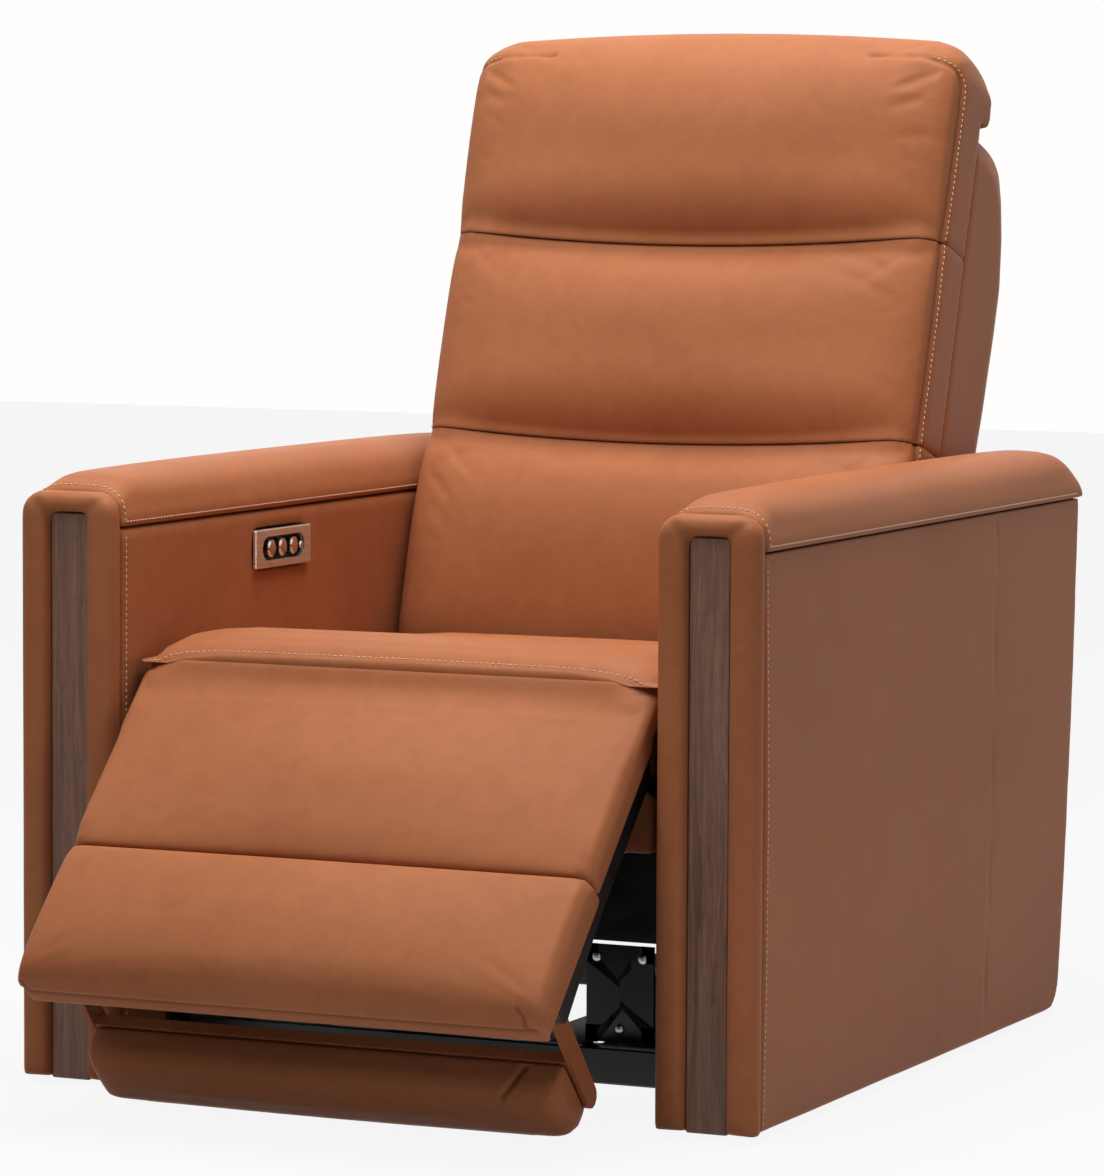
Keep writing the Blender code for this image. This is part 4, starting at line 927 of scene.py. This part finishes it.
pull = np.where(tight, corner / np.maximum(reach, corner), 1.0)
place[:, 0] = np.where(tight, np.sign(place[:, 0]) * (inner_x + out_x * pull), place[:, 0])
place[:, 1] = np.where(tight, inner_y - out_y * pull, place[:, 1])
set_points(seat, place)
print("seat crest", round(float(place[:, 2].max()), 4))

# %% The seat's front seam
seat_line = [(x, seat_front + 0.006, 0.60) for x in np.linspace(-0.283, 0.283, 150)]
laid, facing = onto(surface_of(seat), seat_line, (0, 0, -1), 0.2)
press_seam(seat, laid, 0.0080, 0.0014, 0.45)
finish_leather(seat, "seat", "seat_cushion")
laid, facing = onto(surface_of(seat), [(x, seat_front + 0.0105, 0.60) for x, y, z in seat_line],
                    (0, 0, -1), 0.2)
stitch_row("seat_front_stitches", "seat", laid, facing)

# %% [markdown]
# The footrest
# The raised footrest slopes forward by 45 degrees, in two padded sections with a plain
# seam between them, over a board. Below hangs a smaller padded flap that swings out
# further. The measured solid leaves out its two upper corners, where the hinge ears are.
# The real hide is drawn over them, so a thin cheek and a thin cover are added at each
# corner before the remesh, which melts them into one skin.

# %% The footrest's own directions
slope = math.sqrt(0.5)
foot_hinge = (-0.3560, 0.4236)
upper_end, foot_end, pad_face = 0.2230, 0.390, 0.0190


def on_foot(x, along, behind):
    return (x, foot_hinge[0] - along * slope + behind * slope,
            foot_hinge[1] - along * slope - behind * slope)


def from_foot(place):
    y, z = place[:, 1] - foot_hinge[0], place[:, 2] - foot_hinge[1]
    return (-y - z) * slope, (y - z) * slope


def corner_cover(side):
    """The hide over one hinge ear: a cover on the face and nose, and a cheek beside it."""
    nose = [math.radians(a) for a in range(270, 169, -20)]
    around = [math.radians(a) for a in range(270, 89, -20)]
    cover, cheek = [], []
    for x, r in ((0.2500, 0.0190), (0.2680, 0.0184), (0.2790, 0.0168), (0.2865, 0.0142)):
        ring = [(0.075, -r)] + [(r * math.cos(a), r * math.sin(a)) for a in nose]
        ring += [(0.0100 * math.cos(a), 0.0100 * math.sin(a)) for a in nose[::-1]]
        cover.append([on_foot(side * x, a, b) for a, b in ring + [(0.075, -0.0100)]])
    for x, r in ((0.2835, 0.0158), (0.2875, 0.0132), (0.2910, 0.0090)):
        ring = [(0.075, -r)] + [(r * math.cos(a), r * math.sin(a)) for a in around]
        cheek.append([on_foot(side * x, a, b) for a, b in ring + [(0.075, r)]])
    return [block(cover), block(cheek)]


print("footrest slopes", 45, "degrees")


# %% The two footrest sections
def foot_section(node, name, low, high, cap, extra=()):
    piece = skin_of(node, name, 0.005, 3, extra)
    along, behind = from_foot(points(piece))
    ends = along - low if high == foot_end else np.minimum(along - low, high - along)
    sewn = np.maximum.reduce([1.0 - ramp_up(ends, 0.003, 0.026), ramp_up(behind, 0.002, 0.016),
                              ramp_up(np.abs(points(piece)[:, 0]), 0.268, 0.288)])
    puff(piece, sewn, cap)
    refine(piece)
    return piece


covers = [mesh for side in (-1, 1) for mesh in corner_cover(side)]
upper = foot_section("footrest_upper_pad", "footrest_upper_leather", 0.0, upper_end, 0.010, covers)
band = [(0.3800, 0.016), (0.3890, 0.016), (0.3890, 0.0390), (0.3800, 0.0390)]
end_band = block([[on_foot(x, a, b) for a, b in band] for x in (-0.286, 0.286)])
lower = foot_section("footrest_lower_pad", "footrest_lower_leather", upper_end, foot_end, 0.010,
                     [end_band])
surface = surface_of(lower)
low_seam = curve_line([on_foot(x, 0.50, b) for x, b in (
    (-0.284, 0.004), (-0.281, 0.014), (-0.268, 0.0190), (0.0, 0.0200), (0.255, 0.0190),
    (0.266, 0.013), (0.268, 0.002), (0.262, -0.006))], 0.002)
laid, facing = onto(surface, low_seam, (0, slope, slope))
press_seam(lower, laid, 0.0055, 0.0016, 0.8)
finish_leather(upper, "footrest", "footrest_upper_pad")
finish_leather(lower, "footrest", "footrest_lower_pad")

# %% [markdown]
# The hide at the knee
# From the seat's lip a short strip of hide runs down onto the footrest's face and bends
# when the footrest moves. It could hang as cloth, but it lies close on its neighbours, so
# each place across it gets a curve from face to lip, found with rays, and a grid follows
# those curves.

# %% Hide from the seat's lip to the footrest
def fall_profile(x, fade):
    """From the footrest's face up over its nose to the seat's lip, for one place across."""
    hit = seat_face.ray_cast((x, -0.5, lip_height), (0, 1, 0))[0]
    lip = hit.y if hit else seat_front
    line = []
    for a, proud in ((0.054, -0.0010), (0.040, 0.0002), (0.024, 0.0010), (0.009, 0.0018)):
        hit = pad_skin.ray_cast(on_foot(x, a, -0.08), (0, slope, -slope))[0]
        face = from_foot(np.array([hit]))[1][0] if hit else -pad_face
        line.append(on_foot(x, a, face - proud * fade + 0.0012 * (1 - fade)))
    line += [(x, lip - 0.0016 * fade, lip_height - 0.0022), (x, lip + 0.0012, lip_height)]
    return curve_line(line, 0.0005)


seat_face, pad_skin = surface_of(seat), surface_of(upper)
lip_height, hide_thick = 0.4490, 0.0022
fall_half, columns, rows = 0.2880, 120, 22
bpy.ops.object.select_all(action='DESELECT')
bpy.ops.mesh.primitive_grid_add(x_subdivisions=columns, y_subdivisions=rows, size=1.0)
fall = bpy.context.object
fall.name = fall.data.name = "seat_fall"
across = np.round((points(fall)[:, 0] + 0.5) * columns).astype(int)
along = np.round((points(fall)[:, 1] + 0.5) * rows).astype(int)
table = []
for n in range(columns + 1):
    x = fall_half * (2 * n / columns - 1)
    line = fall_profile(x, 1 - abs(x / fall_half) ** 14)
    picks = np.linspace(0, len(line) - 1, rows + 1)
    table.append([np.interp(picks, range(len(line)), line[:, k]) for k in range(3)])
table = np.array(table)
set_points(fall, table[across, :, along])
shaped(fall, 'SOLIDIFY', thickness=hide_thick, offset=-1.0)
fall.data.materials.append(leather)
fall.data.shade_smooth()
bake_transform(fall)
print(fall.name, len(fall.data.polygons), "faces")

# %% The flap under the footrest
flap = skin_of("flipper_pad", "flap_leather", 0.005, 3)
along, behind = from_foot(points(flap))
sewn = np.maximum(ramp_up(along, 0.335, 0.345), ramp_up(np.abs(points(flap)[:, 0]), 0.240, 0.258))
puff(flap, sewn, 0.008)
refine(flap)
tuck = [(0.222, -0.60, 0.083), (0.214, -0.60, 0.067), (0.205, -0.60, 0.052)]
laid, facing = onto(surface_of(flap), curve_line(tuck, 0.002), (0, 1, 0))
press_seam(flap, laid, 0.0060, 0.0035, 0.95)
finish_leather(flap, "flipper", "flipper_pad")

# %% [markdown]
# The arms
# Each arm is a box with upright sides. Its top pad is a long soft roll, its sides are hide
# over a thin foam on board, and its front is framed by a padded border round the oak
# strip. The border's upper corners are mitred like a picture frame. Thread runs beside
# every join: along the pad, up the front edge and over the top.


# %% Arm pads, panels and borders
def firm_skin(node, name, voxel, ease, wave):
    """A firmly stretched cover: an even mesh with the faint waves of hide on board."""
    piece = skin_of(node, name, voxel, ease)
    place, facing = points(piece), normals(piece)
    lift = np.array([noise.noise(Vector(p) * 9.0) + 0.5 * noise.noise(Vector(p) * 21.0)
                     for p in place])
    set_points(piece, place - facing * (wave * (0.5 + 0.5 * lift))[:, None])
    return piece


arm_seam = 0.5835
arm_front = -0.3834
arm_skins = {}
for side, word in sides:
    pad = skin_of("arm_top_pad_" + word, "arm_pad_" + word, 0.005, 4)
    place = points(pad)
    sewn = np.maximum.reduce([1.0 - ramp_up(place[:, 2], 0.592, 0.612),
                              1.0 - ramp_up(place[:, 1], arm_front + 0.004, arm_front + 0.030)])
    puff(pad, sewn, 0.006)
    refine(pad)
    arm_skins["pad", word] = pad
    for kind, voxel, ease, wave in (("outer_panel", 0.0055, 2, 0.0008),
                                    ("inner_panel", 0.0055, 2, 0.0006),
                                    ("front_border", 0.0040, 3, 0.0005)):
        arm_skins[kind, word] = firm_skin("arm_%s_%s" % (kind, word),
                                          "arm_%s_hide_%s" % (kind, word), voxel, ease, wave)


def shade_join(piece, axis, value):
    """Darken the skin where it meets its neighbour across a flat join."""
    near = np.abs(points(piece)[:, axis] - value)
    repaint(piece, 0.7 * np.exp(-(near / 0.0022) ** 2))


for (kind, word), piece in arm_skins.items():
    shade_join(piece, 1, arm_front)
    if kind != "front_border":
        shade_join(piece, 2, arm_seam)
print("arm skins", len(arm_skins))

# %% [markdown]
# Thread on the arms
# Every stitched line of the arm is found by shooting rays at the finished skins: along the
# pad just above its side seams, and round the arm just behind the front border. The outer
# side also shows one plain upright seam near the rear, where two hides are joined.

# %% Arm seams and stitches
edge_line = arm_front + 0.0090
for side, word in sides:
    hits = {kind: surface_of(arm_skins[kind, word])
            for kind in ("pad", "outer_panel", "inner_panel", "front_border")}
    for out, place_x, panel, label in ((side, 0.50, "outer_panel", "outer"),
                                       (-side, 0.20, "inner_panel", "inner")):
        rear = 0.536 if label == "outer" else 0.522
        line = [(side * place_x, y, arm_seam + 0.0060) for y in np.arange(edge_line, rear, 0.004)]
        laid, facing = onto(hits["pad"], line, (-out, 0, 0))
        stitch_row("arm_pad_stitches_%s_%s" % (label, word), "chair_frame", laid, facing)
        line = [(side * place_x, edge_line, z) for z in np.arange(0.014, arm_seam - 0.003, 0.004)]
        laid, facing = onto(hits[panel], line, (-out, 0, 0))
        stitch_row("arm_front_stitches_%s_%s" % (label, word), "chair_frame", laid, facing)
    centre = Vector((side * 0.360, edge_line, arm_seam + 0.004))
    over = []
    for angle in np.linspace(0.0, math.pi, 90):
        way = Vector((math.cos(angle), 0.0, math.sin(angle)))
        hit, normal, face, far = hits["pad"].ray_cast(centre + way * 0.2, -way)
        if hit is not None:
            over.append((hit, normal))
    stitch_row("arm_top_stitches_" + word, "chair_frame", np.array([h for h, n in over]),
               np.array([n for h, n in over]))
    hide = curve_line([(side * 0.50, 0.283, 0.577), (side * 0.50, 0.272, 0.30),
                       (side * 0.50, 0.258, 0.010)], 0.002)
    laid, facing = onto(hits["outer_panel"], hide, (-side, 0, 0))
    press_seam(arm_skins["outer_panel", word], laid, 0.0040, 0.0008, 0.30, 0.0016)
    for corner in (-1, 1):
        mitre = [(side * 0.36 + corner * x, -0.46, z) for x, z in
                 ((0.024, 0.600), (0.034, 0.609), (0.045, 0.617))]
        laid, facing = onto(hits["front_border"], curve_line(mitre, 0.002), (0, 1, 0))
        crease(arm_skins["front_border", word], laid, 0.0050, 0.0020, 0.22)
for (kind, word), piece in arm_skins.items():
    cad = "arm_top_pad_" if kind == "pad" else "arm_%s_" % kind
    finish_leather(piece, "chair_frame", cad + word)

# %% [markdown]
# The rear cover and the skirt
# The outside of the back is a hide cover drawn tight over the posts. It is firm, so it is
# only evened out and given faint waves. The short skirt under the seat is hide over a rail.

# %% Rear cover and skirt
shell = firm_skin("back_shell", "back_cover", 0.0055, 3, 0.0010)
surface = surface_of(shell)
for side, word in sides:
    steps = np.arange(-0.050, 0.575, 0.004)
    for behind, label in ((0.262, "seam"), (0.2545, "thread")):
        line = [on_back(side * 0.42, a, behind) for a in steps]
        laid, facing = onto(surface, line, (-side, 0, 0))
        if label == "seam":
            press_seam(shell, laid, 0.0060, 0.0014, 0.7)
        else:
            stitch_row("cover_stitches_" + word, "back", laid, facing)
skirt = firm_skin("seat_front_rail", "seat_skirt", 0.0050, 2, 0.0006)
finish_leather(shell, "back", "back_shell")
finish_leather(skirt, "seat", "seat_front_rail")

# %% [markdown]
# Inside the footrest and under the seat
# The board behind the footrest's pads is covered with black lining cloth, stapled on, and
# the flap's board with hide, in a darker copy of the leather as painted shade. The cloth is a
# plain weave, so its bump is two crossing waves about a millimetre apart.

# %% Lining cloth
def make_lining():
    look, tree, shader, place = new_look("black_lining")
    warp, weft = (add_node(tree, "TexWave", {"Vector": stretched(tree, place, turn=turn),
                                             "Scale": 260.0, "Distortion": 0.5}, "Fac")
                  for turn in ((0.0, 0.0, 0.6), (0.0, 0.9, 2.1)))
    weave = multiply(tree, warp, weft)
    lint = noise_field(tree, place, 35.0, 4.0, 0.7)
    colour = ramp(tree, weave, [(0.0, 0.010, 0.010, 0.011), (1.0, 0.034, 0.033, 0.034)])
    fluff = ramp(tree, lint, [(0.45, 1.0, 1.0, 1.0), (0.8, 1.9, 1.8, 1.7)])
    finish_look(tree, shader, blend_colours(tree, 'MULTIPLY', 1.0, colour, fluff), 0.86,
                ((weave, 0.5, 0.0004),))
    return look


lining = make_lining()
nodes["footrest_board"].material_slots[0].material = lining
nodes["flipper_board"].material_slots[0].material = welt_leather
print("lining on the footrest board, hide on the flap's board")

# %% [markdown]
# Steelwork
# Between the footrest and the arm one looks into the mechanism: black pressed steel with
# round-ended links, rivets and cross members, and slits of daylight between them. Links
# are drawn from a cylinder whose one half is pulled away, which gives two round ends. The
# rivet heads are one flattened ball, copied.


# %% Links, rivets and plates
def select_where(test):
    """In edit mode, select the points of the active object that pass a test."""
    bm = bmesh.from_edit_mesh(bpy.context.object.data)
    for vert in bm.verts:
        vert.select_set(test(vert.co))
    bm.select_flush_mode()
    bmesh.update_edit_mesh(bpy.context.object.data)


def settle(name, body, look, bevel=0.0006):
    """Apply the active object's place, round its edges and let it ride."""
    piece = bpy.context.object
    piece.name = piece.data.name = name
    bpy.ops.object.transform_apply(location=True, rotation=True, scale=True)
    if bevel:
        shaped(piece, 'BEVEL', width=bevel, segments=2)
    piece.data.materials.clear()
    piece.data.materials.append(look)
    bpy.ops.object.shade_smooth_by_angle(angle=math.radians(35))
    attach(piece, body)


def cube_between(low, high):
    """A cube that fills the space between two corners."""
    bpy.ops.object.select_all(action='DESELECT')
    bpy.ops.mesh.primitive_cube_add(size=1.0, location=[(a + b) / 2 for a, b in zip(low, high)],
                                    scale=[b - a for a, b in zip(low, high)])


def link_bar(name, body, start, end, x, width, thick):
    """A flat link with round ends between two (y, z) places."""
    run = math.hypot(end[0] - start[0], end[1] - start[1])
    bpy.ops.object.select_all(action='DESELECT')
    bpy.ops.mesh.primitive_cylinder_add(vertices=28, radius=width / 2, depth=thick)
    bpy.context.object.rotation_euler = (0.0, math.radians(90), 0.0)
    bpy.ops.object.transform_apply(rotation=True)
    bpy.ops.object.mode_set(mode='EDIT')
    select_where(lambda co: co.y > 0.0)
    bpy.ops.transform.translate(value=(0.0, run, 0.0))
    bpy.ops.object.mode_set(mode='OBJECT')
    bpy.context.object.location = (x, start[0], start[1])
    bpy.context.object.rotation_euler = (math.atan2(end[1] - start[1], end[0] - start[0]), 0, 0)
    settle(name, body, steel)


def rivets(name, body, places, radius, look, flat=(0.45, 1.0, 1.0)):
    """Domed heads, copied from one ball that is flattened along one axis."""
    bpy.ops.object.select_all(action='DESELECT')
    bpy.ops.mesh.primitive_uv_sphere_add(segments=18, ring_count=9, radius=radius)
    first = bpy.context.object
    first.scale = flat
    first.location = places[0]
    made = [first]
    for place in places[1:]:
        other = put_in(name, first.data.copy())
        other.location, other.scale = place, flat
        made.append(other)
    for one in made:
        one.select_set(True)
    bpy.context.view_layer.objects.active = first
    bpy.ops.object.join()
    settle(name, body, look, 0.0)


print("steelwork helpers ready")


# %% Cross members
def pressed_plate(name, body, low, high, folded):
    """A cross plate: a slab with its middle pressed in, which leaves a raised rim round its edges.
    """
    cube_between(low, high)
    bpy.ops.object.mode_set(mode='EDIT')
    bpy.ops.mesh.select_all(action='SELECT')
    bpy.ops.mesh.subdivide(number_cuts=5)
    bm = bmesh.from_edit_mesh(bpy.context.object.data)
    for face in bm.faces:
        centre = face.calc_center_median()
        face.select_set(face.normal.y < -0.9 and abs(centre.z) < 0.32 and abs(centre.x) < 0.32)
    bmesh.update_edit_mesh(bpy.context.object.data)
    bpy.ops.mesh.inset(thickness=0.06, depth=0.0)
    bpy.ops.transform.translate(value=(0.0, folded, 0.0))
    bpy.ops.object.mode_set(mode='OBJECT')
    settle(name, body, steel, 0.0008)


pressed_plate("base_rear_brace", "chair_frame", (-0.2635, 0.4500, 0.0550),
              (0.2635, 0.4560, 0.1880), 0.0015)
link_bar("footrest_cross_bar", "footrest", on_foot(0, 0.170, 0.0400)[1:],
         on_foot(0, 0.186, 0.0400)[1:], 0.0, 0.016, 0.5290)
print("rear brace and footrest bar are in")

# %% Links and rivets
for side, word in sides:
    link_bar("seat_brace_link_" + word, "seat", (-0.185, 0.190), (-0.035, 0.385),
             side * 0.2340, 0.022, 0.0045)
    link_bar("seat_stay_link_" + word, "seat", (0.020, 0.150), (0.170, 0.372),
             side * 0.2400, 0.022, 0.0045)
    rivets("seat_rivets_" + word, "seat",
           [(side * 0.2665, y, z) for y, z in ((-0.300, 0.395), (-0.180, 0.352), (0.060, 0.352),
                                              (0.150, 0.120), (-0.120, 0.090), (0.330, 0.400))],
           0.0065, steel)
    for low, high, label in ((0.078, 0.146, "inner"), (0.164, 0.238, "outer")):
        x = sorted((side * low, side * high))
        cube_between((x[0], -0.2180, 0.0515), (x[1], 0.4070, 0.0555))
        settle("base_strap_%s_%s" % (label, word), "chair_frame", steel, 0.0008)
    x = sorted((side * 0.140, side * 0.216))
    pressed_plate("base_bracket_" + word, "chair_frame", (x[0], -0.1960, 0.0540),
                  (x[1], -0.1920, 0.1560), 0.0012)
    rivets("base_bolts_" + word, "chair_frame",
           [(side * a, -0.1965, z) for a, z in ((0.152, 0.143), (0.204, 0.143), (0.178, 0.068))],
           0.0055, zinc, (1.0, 0.45, 1.0))
cube_between((0.1700, -0.1500, 0.0550), (0.2330, -0.0700, 0.1180))
settle("junction_box", "chair_frame", plastic, 0.0040)
print("links and rivets are on")
